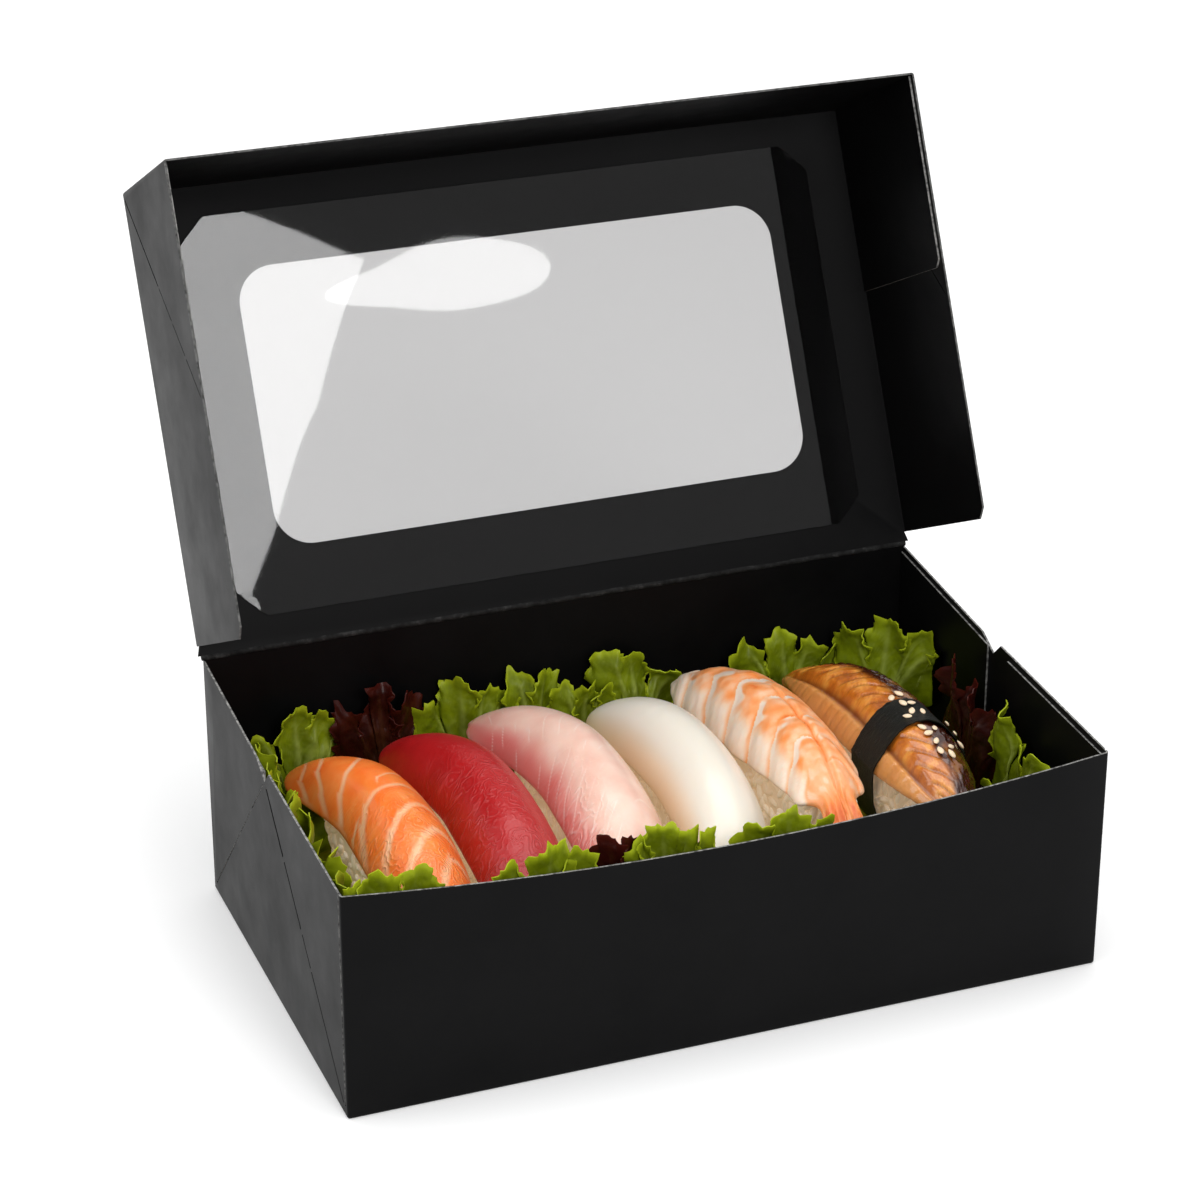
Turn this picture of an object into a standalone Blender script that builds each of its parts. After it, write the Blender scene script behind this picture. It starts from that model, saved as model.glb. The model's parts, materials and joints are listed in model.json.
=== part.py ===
"""Takeaway sushi tray: a folded black card box with a windowed, hinged lid, standing open, holding six
pieces of nigiri on a bed of green and red lettuce.

Frame: origin at the centre of the box's underside, +X along the length, +Y to the hinge, +Z up.
Every dimension below is in millimetres and is turned into metres where a vertex is made.
"""

import math

import bmesh
import bpy
from mathutils import Matrix, Vector

MM = 0.001

# ---- the folded card box
CARD = 0.5  # thickness of the board
BOX_W = 198.6  # length of the box along X
BOX_D = 118.0  # depth of the box along Y
FRONT_H = 60.6  # front wall at its corners
FRONT_DIP = 5.0  # its top edge is cut lower in the middle
FRONT_BOW = 1.6  # and the food presses it out by this much
FRONT_STEPS = 12
BACK_H = 66.9  # back wall, which carries the hinge
NOTCH_BACK = (10.0, 62.8)  # end wall, (y, z): top edge at the back side of the notch
NOTCH_LOW = (3.2, 59.4)
NOTCH_FRONT = (-0.6, 63.2)
FLAP_FREE_Y = 5.6  # where the glued inner flaps end, from the middle of the wall
FLAP_DROP = 1.6  # inner flaps stop this far under the outer panel's edge

# ---- the lid, in its own plane: u runs from the hinge to the free edge, n points to the inside
HINGE_Z = 67.7
OPEN_DEG = 116.6  # how far the lid stands open from closed
LID_W = 200.9
LID_L = 120.6
LID_WALL = 51.7
LID_START = 0.3  # the panel starts this far from the hinge line
LID_SIDE_START = 2.9  # the side walls start a little further out
LID_SIDE_CHAMFER = 3.0
LID_FLAP = 51.0  # length of the corner flaps glued inside the side walls
WINDOW_HALF_W = 74.8
WINDOW_U = (24.6, 97.6)
WINDOW_RADIUS = 10.0
FILM_HALF_W = 88.0
FILM_U = (12.0, 112.0)
FILM_CHAMFER = 9.0
FILM_T = 0.3

# ---- clearances
GAP = 0.3
RICE_GAP = 0.6  # between the rice and the slab over it
BED_TOP = 22.9
BED_HALF = (97.0, 57.2)
RICE_FOOT = 23.5

# ---- nigiri, left to right
SLAB_TOP = 57.5


class Nigiri:
    """One rice ball with its topping: a plan centre, a turn in plan and an arched slab over the rice."""

    def __init__(self, x, y, turn, half_l, half_w, top, bend, thick):
        """`bend` is how far the front end and the back end curl to the left."""
        self.x = x
        self.y = y
        self.turn = math.radians(turn)
        self.half_l = half_l
        self.half_w = half_w
        self.top = top
        self.bend = bend
        self.thick = thick

    def outline(self, u):
        """Half-width factor along the slab, u from -1 (front) to 1 (back)."""
        return max(0.34, (1.0 - abs(u) ** 3.2) ** 0.42)

    def surface(self, u, v):
        """Top of the slab over the plan position (u, v), as a drop from its crown."""
        return 13.5 * abs(u) ** 2.6 + 11.0 * abs(v * self.outline(u)) ** 2.3

    def centre_line(self, u):
        """Sideways drift of the slab: its two ends curl to the left."""
        front, back = self.bend
        return -(back if u > 0.0 else front) * u**2

    def depth(self, u, v):
        """Thickness of the slab, thinner to its edges."""
        return self.thick * (1.0 - 0.42 * abs(v) ** 2 - 0.2 * abs(u) ** 3)

    def to_plan(self, across, along):
        """Local millimetres to world millimetres."""
        c = math.cos(self.turn)
        s = math.sin(self.turn)
        return self.x + c * across - s * along, self.y + s * across + c * along

    def point(self, u, v, lower=0.0):
        across = v * self.half_w * self.outline(u) + self.centre_line(u)
        along = u * self.half_l
        x, y = self.to_plan(across, along)
        return Vector((x, y, self.top - self.surface(u, v) - lower)) * MM

    def under(self, across, along):
        """Height of the slab's underside over a local position, for the rice below it."""
        u = max(-1.0, min(1.0, along / self.half_l))
        v = (across - self.centre_line(u)) / (self.half_w * self.outline(u))
        v = max(-1.25, min(1.25, v))
        return self.top - self.surface(u, v) - self.depth(u, min(abs(v), 1.0))


class Prawn(Nigiri):
    """The cooked prawn narrows to its tail, which spreads again at the front."""

    def outline(self, u):
        if u > -0.66:
            body = (1.0 - max(0.0, u) ** 3.6) ** 0.5
            return max(0.36, body * (1.0 - 0.50 * max(0.0, 0.1 - u) ** 1.7))
        return 0.36 + 0.55 * (-0.66 - u)


class Eel(Nigiri):
    """The eel fillet has pointed ends and a groove along it between two lobes."""

    def outline(self, u):
        return max(0.24, (1.0 - abs(u) ** 2.4) ** 0.6)

    def groove(self, u, v):
        return 2.2 * math.exp(-(((v + 0.28) / 0.16) ** 2)) * (1.0 - abs(u) ** 4)

    def surface(self, u, v):
        return super().surface(u, v) + self.groove(u, v)

    def depth(self, u, v):
        return super().depth(u, v) - self.groove(u, v)


PIECES = {
    "salmon": Nigiri(-69.5, -6.0, 0.0, 44.0, 12.0, SLAB_TOP - 1.0, (2.0, 11.0), 6.0),
    "tuna": Nigiri(-44.5, -5.0, 0.0, 45.0, 12.0, SLAB_TOP, (3.5, 7.0), 7.0),
    "yellowtail": Nigiri(-18.0, -3.0, 0.0, 46.5, 12.4, SLAB_TOP + 1.5, (4.0, 8.5), 6.5),
    "squid": Nigiri(9.0, -6.0, 0.0, 44.0, 12.0, SLAB_TOP + 1.0, (5.0, 5.0), 6.0),
    "prawn": Prawn(36.5, -2.5, 0.0, 49.0, 12.8, SLAB_TOP + 1.0, (3.0, 8.0), 6.0),
    "eel": Eel(65.5, -6.0, 0.0, 45.0, 13.0, SLAB_TOP + 0.5, (2.0, 9.0), 7.0),
}
RICE_HALF = {
    "salmon": (10.6, 36.0),
    "tuna": (10.4, 36.0),
    "yellowtail": (11.2, 36.0),
    "squid": (10.6, 36.0),
    "prawn": (11.2, 34.0),
    "eel": (11.4, 35.0),
}
NORI_WIDTH = 14.0
NORI_T = 0.6
NORI_OFFSET = 0.5
NORI_ALONG = -6.5
EEL_LIFT = 1.6  # the eel's rice stands on the nori band

COLOURS = {
    "black_card": ((0.013, 0.013, 0.014), 0.38),
    "window_film": ((0.82, 0.84, 0.85), 0.08),
    "rice": ((0.83, 0.79, 0.70), 0.45),
    "salmon": ((0.90, 0.29, 0.07), 0.28),
    "tuna": ((0.42, 0.012, 0.014), 0.25),
    "yellowtail": ((0.84, 0.54, 0.44), 0.28),
    "squid": ((0.87, 0.84, 0.74), 0.25),
    "prawn": ((0.90, 0.45, 0.24), 0.30),
    "eel": ((0.42, 0.15, 0.03), 0.22),
    "nori": ((0.008, 0.012, 0.007), 0.35),
    "green_leaf": ((0.16, 0.32, 0.03), 0.40),
    "red_leaf": ((0.085, 0.012, 0.012), 0.40),
}


def clear_scene():
    for obj in list(bpy.data.objects):
        bpy.data.objects.remove(obj, do_unlink=True)


def make_collection(name):
    collection = bpy.data.collections.new(name)
    bpy.context.scene.collection.children.link(collection)
    return collection


def make_material(name):
    (red, green, blue), roughness = COLOURS[name]
    material = bpy.data.materials.new(name)
    material.use_nodes = True
    shader = material.node_tree.nodes["Principled BSDF"]
    shader.inputs["Base Color"].default_value = (red, green, blue, 1.0)
    shader.inputs["Roughness"].default_value = roughness
    shader.inputs["Metallic"].default_value = 0.0
    material.diffuse_color = (red, green, blue, 1.0)
    return material


def finish_mesh(name, bm, material, collection):
    bmesh.ops.recalc_face_normals(bm, faces=bm.faces)
    mesh = bpy.data.meshes.new(name)
    bm.to_mesh(mesh)
    bm.free()
    obj = bpy.data.objects.new(name, mesh)
    mesh.materials.append(material)
    collection.objects.link(obj)
    return obj


def hide_cutter(obj):
    obj.hide_render = True
    obj.display_type = "WIRE"
    return obj


def add_boolean(obj, cutter, operation):
    modifier = obj.modifiers.new(operation.lower(), "BOOLEAN")
    modifier.operation = operation
    modifier.solver = "EXACT"
    modifier.object = cutter


def add_solidify(obj, thickness):
    modifier = obj.modifiers.new("board", "SOLIDIFY")
    modifier.thickness = thickness * MM
    modifier.offset = -1.0
    modifier.use_even_offset = True


def extrude_outline(bm, points, step):
    """A flat outline given in millimetres, drawn out by `step` millimetres into a closed solid."""
    verts = [bm.verts.new(Vector(p) * MM) for p in points]
    face = bm.faces.new(verts)
    pulled = bmesh.ops.extrude_face_region(bm, geom=[face])
    moved = [g for g in pulled["geom"] if isinstance(g, bmesh.types.BMVert)]
    bmesh.ops.translate(bm, verts=moved, vec=Vector(step) * MM)


def end_wall_outline(y_from, y_to, drop):
    """Top edge of an end wall between two depths, from back to front, lowered by `drop`."""
    edge = [
        (BOX_D / 2, BACK_H),
        NOTCH_BACK,
        NOTCH_LOW,
        NOTCH_FRONT,
        (-BOX_D / 2, FRONT_H),
    ]
    inside = [(y, z - drop) for y, z in edge if y_to < y < y_from]
    return [(y_from, edge_height(edge, y_from) - drop), *inside, (y_to, edge_height(edge, y_to) - drop)]


def edge_height(edge, y):
    for (y0, z0), (y1, z1) in zip(edge, edge[1:]):
        if y0 >= y >= y1:
            return z0 + (z1 - z0) * (y0 - y) / (y0 - y1)
    return edge[-1][1]


def build_tray(material, collection, cutters):
    half_w = BOX_W / 2
    half_d = BOX_D / 2
    bm = bmesh.new()

    def vert(x, y, z):
        return bm.verts.new(Vector((x, y, z)) * MM)

    back_low = {sx: vert(sx * half_w, half_d, 0.0) for sx in (-1, 1)}
    back_high = {sx: vert(sx * half_w, half_d, BACK_H) for sx in (-1, 1)}
    front_low = []
    front_high = []
    for i in range(FRONT_STEPS + 1):
        t = 2.0 * i / FRONT_STEPS - 1.0
        sag = 1.0 - t * t
        front_low.append(vert(t * half_w, -half_d, 0.0))
        front_high.append(vert(t * half_w, -half_d - FRONT_BOW * sag, FRONT_H - FRONT_DIP * sag))
    bm.faces.new([*front_low, back_low[1], back_low[-1]])
    bm.faces.new([back_low[1], back_low[-1], back_high[-1], back_high[1]])
    for i in range(FRONT_STEPS):
        bm.faces.new([front_low[i], front_low[i + 1], front_high[i + 1], front_high[i]])
    for sx, end in ((-1, 0), (1, FRONT_STEPS)):
        notch = [vert(sx * half_w, y, z) for y, z in (NOTCH_BACK, NOTCH_LOW, NOTCH_FRONT)]
        bm.faces.new([front_low[end], back_low[sx], back_high[sx], *notch, front_high[end]])
    tray = finish_mesh("tray", bm, material, collection)
    # the open box's normals point outwards, so the board grows inwards
    if tray.data.polygons[0].normal.z > 0.0:
        tray.data.flip_normals()
    add_solidify(tray, CARD)

    bm = bmesh.new()
    skin = 0.15
    for sx in (-1, 1):
        x_wall = sx * (half_w - CARD + skin)
        reach = -sx * (CARD + skin)
        back = end_wall_outline(half_d - CARD + skin, FLAP_FREE_Y, FLAP_DROP)
        front = end_wall_outline(-FLAP_FREE_Y, -half_d + CARD - skin, FLAP_DROP)
        for edge in (back, front):
            points = [(x_wall, edge[0][0], CARD + 1.0), (x_wall, edge[-1][0], CARD + 1.0)]
            points += [(x_wall, y, z) for y, z in reversed(edge)]
            extrude_outline(bm, points, (reach, 0.0, 0.0))
    flaps = hide_cutter(finish_mesh("tray_flaps", bm, material, cutters))
    add_boolean(tray, flaps, "UNION")
    return tray


def lid_matrix():
    """Lid coordinates (x, u, n) to the world: u away from the hinge, n to the lid's inside."""
    angle = math.radians(OPEN_DEG)
    along = Vector((0.0, -math.cos(angle), math.sin(angle)))
    inward = Vector((0.0, -math.sin(angle), -math.cos(angle)))
    turn = Matrix.Identity(4)
    for row in range(3):
        turn[row][1] = along[row]
        turn[row][2] = inward[row]
    return Matrix.Translation(Vector((0.0, BOX_D / 2, HINGE_Z)) * MM) @ turn


def build_lid(material, collection, cutters):
    half = LID_W / 2
    skin = 0.15

    bm = bmesh.new()
    panel = [(-half, LID_START), (half, LID_START), (half, LID_L), (-half, LID_L)]
    extrude_outline(bm, [(x, u, 0.0) for x, u in panel], (0.0, 0.0, CARD))
    lid = finish_mesh("lid", bm, material, collection)

    bm = bmesh.new()
    front = [(-half, 0.0), (half, 0.0), (half, LID_WALL), (-half, LID_WALL)]
    extrude_outline(bm, [(x, LID_L, n) for x, n in front], (0.0, -CARD, 0.0))
    front_wall = finish_mesh("lid_front_wall", bm, material, cutters)

    bm = bmesh.new()
    for sx in (-1, 1):
        wall = [
            (LID_SIDE_START, 0.0),
            (LID_L, 0.0),
            (LID_L, LID_WALL),
            (LID_SIDE_START + LID_SIDE_CHAMFER, LID_WALL),
            (LID_SIDE_START, LID_WALL - LID_SIDE_CHAMFER),
        ]
        extrude_outline(bm, [(sx * half, u, n) for u, n in wall], (-sx * CARD, 0.0, 0.0))
    side_walls = finish_mesh("lid_side_walls", bm, material, cutters)

    bm = bmesh.new()
    for sx in (-1, 1):
        x_wall = sx * (half - CARD + skin)
        u_far = LID_L - CARD + skin
        u_near = LID_L - LID_FLAP
        n_low = CARD - skin
        n_high = LID_WALL - 1.2
        flap = [(u_near, n_low), (u_far, n_low), (u_far, n_high), (u_near, n_high)]
        extrude_outline(bm, [(x_wall, u, n) for u, n in flap], (-sx * (CARD + skin), 0.0, 0.0))
    flaps = finish_mesh("lid_flaps", bm, material, cutters)

    bm = bmesh.new()
    u0, u1 = WINDOW_U
    w = WINDOW_HALF_W
    extrude_outline(bm, [(-w, u0, -2.0), (w, u0, -2.0), (w, u1, -2.0), (-w, u1, -2.0)], (0.0, 0.0, 4.0))
    upright = [e for e in bm.edges if abs(e.verts[0].co.z - e.verts[1].co.z) > MM]
    bmesh.ops.bevel(bm, geom=upright, offset=WINDOW_RADIUS * MM, segments=6, profile=0.5, affect="EDGES")
    window = finish_mesh("window_cut", bm, material, cutters)

    for other in (front_wall, side_walls, flaps):
        add_boolean(lid, hide_cutter(other), "UNION")
    add_boolean(lid, hide_cutter(window), "DIFFERENCE")
    for obj in (lid, front_wall, side_walls, flaps, window):
        obj.matrix_world = lid_matrix()
    return lid


def build_film(material, collection):
    u0, u1 = FILM_U
    n = CARD + GAP
    w = FILM_HALF_W
    c = FILM_CHAMFER
    bm = bmesh.new()
    outline = [(-w + c, u0), (w - c, u0), (w, u0 + c), (w, u1 - c)]
    outline += [(w - c, u1), (-w + c, u1), (-w, u1 - c), (-w, u0 + c)]
    extrude_outline(bm, [(x, u, n) for x, u in outline], (0.0, 0.0, FILM_T))
    film = finish_mesh("window_film", bm, material, collection)
    film.matrix_world = lid_matrix()
    return film


def build_slab(name, piece, material, collection, rows=14, columns=8):
    """The topping: a flat grid laid over the rice, then pulled down into its thickness."""
    bm = bmesh.new()
    bmesh.ops.create_grid(bm, x_segments=columns, y_segments=rows, size=1.0)
    pulled = bmesh.ops.extrude_face_region(bm, geom=list(bm.faces))
    lower = {g for g in pulled["geom"] if isinstance(g, bmesh.types.BMVert)}
    for vert in bm.verts:
        v, u = vert.co.x, vert.co.y
        vert.co = piece.point(u, v, piece.depth(u, v) if vert in lower else 0.0)
    return finish_mesh(name, bm, material, collection)


def build_rice(name, piece, half, foot, material, collection):
    """The pressed rice: a blunt oval block whose top follows the underside of the slab."""
    half_w, half_l = half
    centre = foot + 15.5
    bm = bmesh.new()
    bmesh.ops.create_uvsphere(bm, u_segments=16, v_segments=10, radius=1.0)
    for vert in bm.verts:
        p = vert.co.normalized()
        blunt = (abs(p.x) ** 2.7 + abs(p.y) ** 2.7 + abs(p.z) ** 2.7) ** (-1.0 / 2.7)
        p = p * blunt
        ripple = 1.0 + 0.012 * math.sin(9.0 * p.x + 7.0 * p.y + 5.0 * p.z)
        across = p.x * half_w * ripple
        along = p.y * half_l * ripple
        z = centre + p.z * 15.5
        z = min(z, piece.under(across, along) - RICE_GAP)
        x, y = piece.to_plan(across, along)
        vert.co = Vector((x, y, z)) * MM
    return finish_mesh(name, bm, material, collection)


def band_outline(piece, half, foot, spread):
    """Cross-section of the eel piece, (across, z), grown by `spread`, as a closed loop."""
    half_w = max(piece.half_w, half[0]) + spread
    top = []
    steps = 14
    for i in range(steps + 1):
        v = -1.0 + 2.0 * i / steps
        across = v * (piece.half_w + spread)
        top.append((across, piece.top - 11.0 * abs(v) ** 2.3 + spread))
    bottom = [(half_w, top[-1][1] - 9.0), (half_w * 0.9, foot + 3.0), (half_w * 0.66, foot - spread)]
    mirrored = [(-x, z) for x, z in reversed(bottom)]
    return top + bottom + mirrored


def build_nori(piece, half, foot, material, collection):
    """The nori band: a loop round the eel, its rice and back underneath."""
    bm = bmesh.new()
    rings = []
    for spread in (NORI_OFFSET, NORI_OFFSET + NORI_T):
        for along in (NORI_ALONG - NORI_WIDTH / 2, NORI_ALONG + NORI_WIDTH / 2):
            ring = []
            for across, z in band_outline(piece, half, foot, spread):
                x, y = piece.to_plan(across, along)
                ring.append(bm.verts.new(Vector((x, y, z)) * MM))
            rings.append(ring)
    inner_front, inner_back, outer_front, outer_back = rings
    count = len(inner_front)
    loops = (inner_front, inner_back, outer_back, outer_front, inner_front)
    for a, b in zip(loops, loops[1:]):
        for i in range(count):
            j = (i + 1) % count
            bm.faces.new([a[i], a[j], b[j], b[i]])
    return finish_mesh("nori_band", bm, material, collection)


def build_bed(material, collection):
    """The lettuce the nigiri lie on: a low, uneven heap of folded leaf."""
    half_x, half_y = BED_HALF
    bm = bmesh.new()
    bmesh.ops.create_cube(bm, size=2.0)
    bmesh.ops.subdivide_edges(bm, edges=bm.edges, cuts=5, use_grid_fill=True)
    for vert in bm.verts:
        x, y, z = vert.co
        corner = 1.0 - 0.05 * (abs(x) * abs(y)) ** 6
        ruffle = 0.985 + 0.015 * math.sin(11.0 * x + 5.0 * y + 3.0 * z)
        height = (z + 1.0) / 2.0
        dip = 0.35 + 0.35 * math.sin(9.0 * x + 2.0) * math.sin(7.0 * y)
        px = x * half_x * corner * ruffle
        py = y * half_y * corner * ruffle
        pz = CARD + GAP + height * (BED_TOP - CARD - GAP) - dip * height
        vert.co = Vector((px, py, pz)) * MM
    return finish_mesh("lettuce_bed", bm, material, collection)


# Leaves: name, foot (x, y), direction the leaf faces in degrees from -Y, width at the foot and at the
# frill, height of the frill, lean of the frill to the wall, number of ruffles, red or green
LEAVES = (
    ("leaf_back_corner_left", (-77.0, 50.0), 20.0, 14.0, 27.0, 54.0, 3.0, 3, "green_leaf"),
    ("leaf_back_red", (-53.5, 51.5), 0.0, 10.0, 21.0, 55.0, 2.5, 3, "red_leaf"),
    ("leaf_back_a", (-32.0, 51.5), 0.0, 12.0, 20.0, 50.0, 2.5, 3, "green_leaf"),
    ("leaf_back_b", (-12.5, 51.5), 0.0, 8.0, 14.5, 50.0, 2.5, 2, "green_leaf"),
    ("leaf_back_c", (0.5, 47.5), 0.0, 6.0, 11.0, 46.0, 0.5, 2, "green_leaf"),
    ("leaf_back_d", (17.5, 51.5), 0.0, 12.0, 22.0, 51.0, 2.5, 3, "green_leaf"),
    ("leaf_back_e", (57.0, 51.5), 0.0, 16.0, 38.0, 49.0, 2.5, 5, "green_leaf"),
    ("leaf_back_corner_right", (86.5, 43.0), -52.0, 12.0, 24.0, 53.0, 2.0, 3, "green_leaf"),
    ("leaf_right_red", (91.0, 1.0), -90.0, 12.0, 24.0, 50.0, 2.5, 3, "red_leaf"),
    ("leaf_right", (90.0, -31.0), -90.0, 16.0, 36.0, 48.0, 3.0, 4, "green_leaf"),
    ("leaf_left_back", (-91.0, 17.0), 90.0, 14.0, 28.0, 55.0, 3.0, 4, "green_leaf"),
    ("leaf_left_front", (-90.5, -21.0), 90.0, 20.0, 40.0, 54.5, 3.5, 5, "green_leaf"),
    ("leaf_front_corner_left", (-84.0, -54.3), 180.0, 10.0, 20.0, 60.0, 1.0, 3, "green_leaf"),
    ("leaf_front_a", (-46.0, -54.6), 180.0, 16.0, 26.0, 59.5, 1.0, 4, "green_leaf"),
    ("leaf_front_red", (-26.3, -54.6), 180.0, 6.0, 10.0, 59.0, 1.0, 2, "red_leaf"),
    ("leaf_front_b", (-11.0, -54.6), 180.0, 12.0, 18.0, 59.5, 1.0, 3, "green_leaf"),
    ("leaf_front_c", (14.0, -54.6), 180.0, 14.0, 22.0, 57.0, 1.0, 3, "green_leaf"),
)
LEAF_T = 0.8
LEAF_FOOT = 23.6


def build_leaf(spec, materials, collection):
    """One standing lettuce leaf: a sheet that widens from its foot to a ruffled, scalloped rim."""
    name, (x, y), face, foot_w, rim_w, top, lean, ruffles, slot = spec
    turn = Matrix.Rotation(math.radians(face), 3, "Z")
    bm = bmesh.new()
    bmesh.ops.create_grid(bm, x_segments=3 * ruffles, y_segments=4, size=1.0)
    for vert in bm.verts:
        s, t = vert.co.x, (vert.co.y + 1.0) / 2.0
        width = foot_w + (rim_w - foot_w) * t
        wave = math.sin(s * math.pi * ruffles)
        scallop = 1.4 * math.cos(2.0 * s * math.pi * ruffles) * t**3
        round_top = 5.0 * s**2 * t
        across = 0.5 * width * s
        out = lean * t + 1.1 * wave * t
        z = LEAF_FOOT + (top - LEAF_FOOT - 1.4) * t + scallop - round_top
        p = turn @ Vector((across, out, 0.0))
        vert.co = Vector((x + p.x, y + p.y, z)) * MM
    obj = finish_mesh(name, bm, materials[slot], collection)
    modifier = obj.modifiers.new("leaf", "SOLIDIFY")
    modifier.thickness = LEAF_T * MM
    modifier.offset = 0.0
    return obj


def main():
    clear_scene()
    collection = make_collection("takeaway_sushi_tray")
    cutters = make_collection("cutters")
    materials = {name: make_material(name) for name in COLOURS}

    build_tray(materials["black_card"], collection, cutters)
    build_lid(materials["black_card"], collection, cutters)
    build_film(materials["window_film"], collection)
    build_bed(materials["green_leaf"], collection)
    for name, piece in PIECES.items():
        foot = RICE_FOOT + (EEL_LIFT if name == "eel" else 0.0)
        build_rice("rice_" + name, piece, RICE_HALF[name], foot, materials["rice"], collection)
        build_slab("topping_" + name, piece, materials[name], collection)
    eel_foot = RICE_FOOT + EEL_LIFT
    build_nori(PIECES["eel"], RICE_HALF["eel"], eel_foot, materials["nori"], collection)
    for spec in LEAVES:
        build_leaf(spec, materials, collection)


main()
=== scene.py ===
# %% [markdown]
# # A takeaway sushi tray
# A folded black card box stands open. Six nigiri lie in it on lettuce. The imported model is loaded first: its
# bodies, the lid's hinge and every size come from it, and each piece made here rides on one of its bodies.

# %% Load the frame
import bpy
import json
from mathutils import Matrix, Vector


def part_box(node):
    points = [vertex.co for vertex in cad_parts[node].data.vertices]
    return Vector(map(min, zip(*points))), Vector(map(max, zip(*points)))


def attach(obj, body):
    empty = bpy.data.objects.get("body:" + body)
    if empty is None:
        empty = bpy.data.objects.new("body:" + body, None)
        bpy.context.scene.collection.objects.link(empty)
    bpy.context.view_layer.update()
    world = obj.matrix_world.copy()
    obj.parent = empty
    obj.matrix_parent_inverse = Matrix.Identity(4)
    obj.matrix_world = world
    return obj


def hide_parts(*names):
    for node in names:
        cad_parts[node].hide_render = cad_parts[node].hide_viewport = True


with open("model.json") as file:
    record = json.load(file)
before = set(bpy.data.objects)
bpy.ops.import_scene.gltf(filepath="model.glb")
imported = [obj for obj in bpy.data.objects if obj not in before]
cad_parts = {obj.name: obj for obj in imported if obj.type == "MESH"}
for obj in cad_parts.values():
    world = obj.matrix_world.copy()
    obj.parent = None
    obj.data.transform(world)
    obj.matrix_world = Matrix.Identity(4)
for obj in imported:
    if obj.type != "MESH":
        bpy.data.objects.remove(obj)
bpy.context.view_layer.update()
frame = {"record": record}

# %% [markdown]
# ## Working tools
# Every step below is done the way it is at the desk: add a primitive, pick some of it by place or by the way it
# faces, run an operator on that, and apply the modifiers. These few helpers hold the picking and applying.

# %% Picking, applying and materials
import json
import math
import random

import bpy
from mathutils import Matrix, Vector, noise

MM = 0.001


def calm():
    if bpy.context.object and bpy.context.object.mode != "OBJECT":
        bpy.ops.object.mode_set(mode="OBJECT")
    bpy.ops.object.select_all(action="DESELECT")


def only(obj):
    calm()
    obj.select_set(True)
    bpy.context.view_layer.objects.active = obj


def named(name):
    """The primitive that was just added, named, with its place put into its mesh."""
    obj = bpy.context.object
    obj.name = name
    obj.data.name = name
    only(obj)
    bpy.ops.object.transform_apply(location=True, rotation=True, scale=True)
    return obj


def block(name, lo, hi):
    """A cube primitive between two corners, in millimetres."""
    calm()
    lo = Vector(lo) * MM
    hi = Vector(hi) * MM
    bpy.ops.mesh.primitive_cube_add(size=1.0, location=(lo + hi) / 2, scale=hi - lo)
    return named(name)


def pick(obj, mode, test):
    """Enters edit mode with the faces, edges or vertices picked that pass the test."""
    only(obj)
    bpy.ops.object.mode_set(mode="EDIT")
    bpy.ops.mesh.select_mode(type=mode)
    bpy.ops.mesh.select_all(action="DESELECT")
    bpy.ops.object.mode_set(mode="OBJECT")
    mesh = obj.data
    items = {"FACE": mesh.polygons, "EDGE": mesh.edges, "VERT": mesh.vertices}[mode]
    count = 0
    for item in items:
        item.select = bool(test(item))
        count += item.select
    bpy.ops.object.mode_set(mode="EDIT")
    return count


def leave_edit():
    bpy.ops.object.mode_set(mode="OBJECT")


def apply_modifier(obj, kind, **settings):
    only(obj)
    modifier = obj.modifiers.new(kind.lower(), kind)
    for key, value in settings.items():
        setattr(modifier, key, value)
    bpy.ops.object.modifier_apply(modifier=modifier.name)


def face_outward(obj):
    only(obj)
    bpy.ops.object.mode_set(mode="EDIT")
    bpy.ops.mesh.select_all(action="SELECT")
    bpy.ops.mesh.normals_make_consistent(inside=False)
    leave_edit()


def edge_ends(obj, edge):
    return [obj.data.vertices[i].co for i in edge.vertices]


def joined(name, pieces):
    calm()
    for piece in pieces:
        piece.select_set(True)
    bpy.context.view_layer.objects.active = pieces[0]
    if len(pieces) > 1:
        bpy.ops.object.join()
    obj = bpy.context.object
    obj.name = name
    obj.data.name = name
    return obj


def shaded(obj, degrees=30.0):
    only(obj)
    bpy.ops.object.shade_smooth_by_angle(angle=math.radians(degrees))


def dress(obj, *materials):
    obj.data.materials.clear()
    for material in materials:
        obj.data.materials.append(material)


def surface(name, **sockets):
    """A new material: its node tree's link function, node maker and Principled shader come back with it."""
    material = bpy.data.materials.new(name)
    material.use_nodes = True
    tree = material.node_tree
    shader = tree.nodes["Principled BSDF"]
    for key, value in sockets.items():
        shader.inputs[key.replace("_", " ")].default_value = value

    def node(kind, **inputs):
        made = tree.nodes.new("ShaderNode" + kind)
        for key, value in inputs.items():
            if key[0].isupper():
                made.inputs[key.replace("_", " ")].default_value = value
            else:
                setattr(made, key, value)
        return made

    return material, tree.links.new, node, shader


def ramp(node, stops):
    """A Color Ramp node filled with (position, (r, g, b)) stops."""
    made = node("ValToRGB")
    elements = made.color_ramp.elements
    while len(elements) < len(stops):
        elements.new(0.5)
    for element, (position, colour) in zip(elements, stops):
        element.position = position
        element.color = (*colour, 1.0)
    return made


def blended(node, link, factor, low, high, mode="MIX"):
    """A colour mix of two sockets or plain colours by a factor socket or number."""
    made = node("Mix", data_type="RGBA", blend_type=mode, clamp_factor=True)
    for index, value in ((0, factor), (6, low), (7, high)):
        if hasattr(value, "is_linked"):
            link(value, made.inputs[index])
        elif index == 0:
            made.inputs[0].default_value = value
        else:
            made.inputs[index].default_value = (*value, 1.0)
    return made.outputs[2]


def stored(node, name, output="Fac"):
    """The socket of a value that the mesh stores at its points."""
    return node("Attribute", attribute_name=name).outputs[output]


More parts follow.
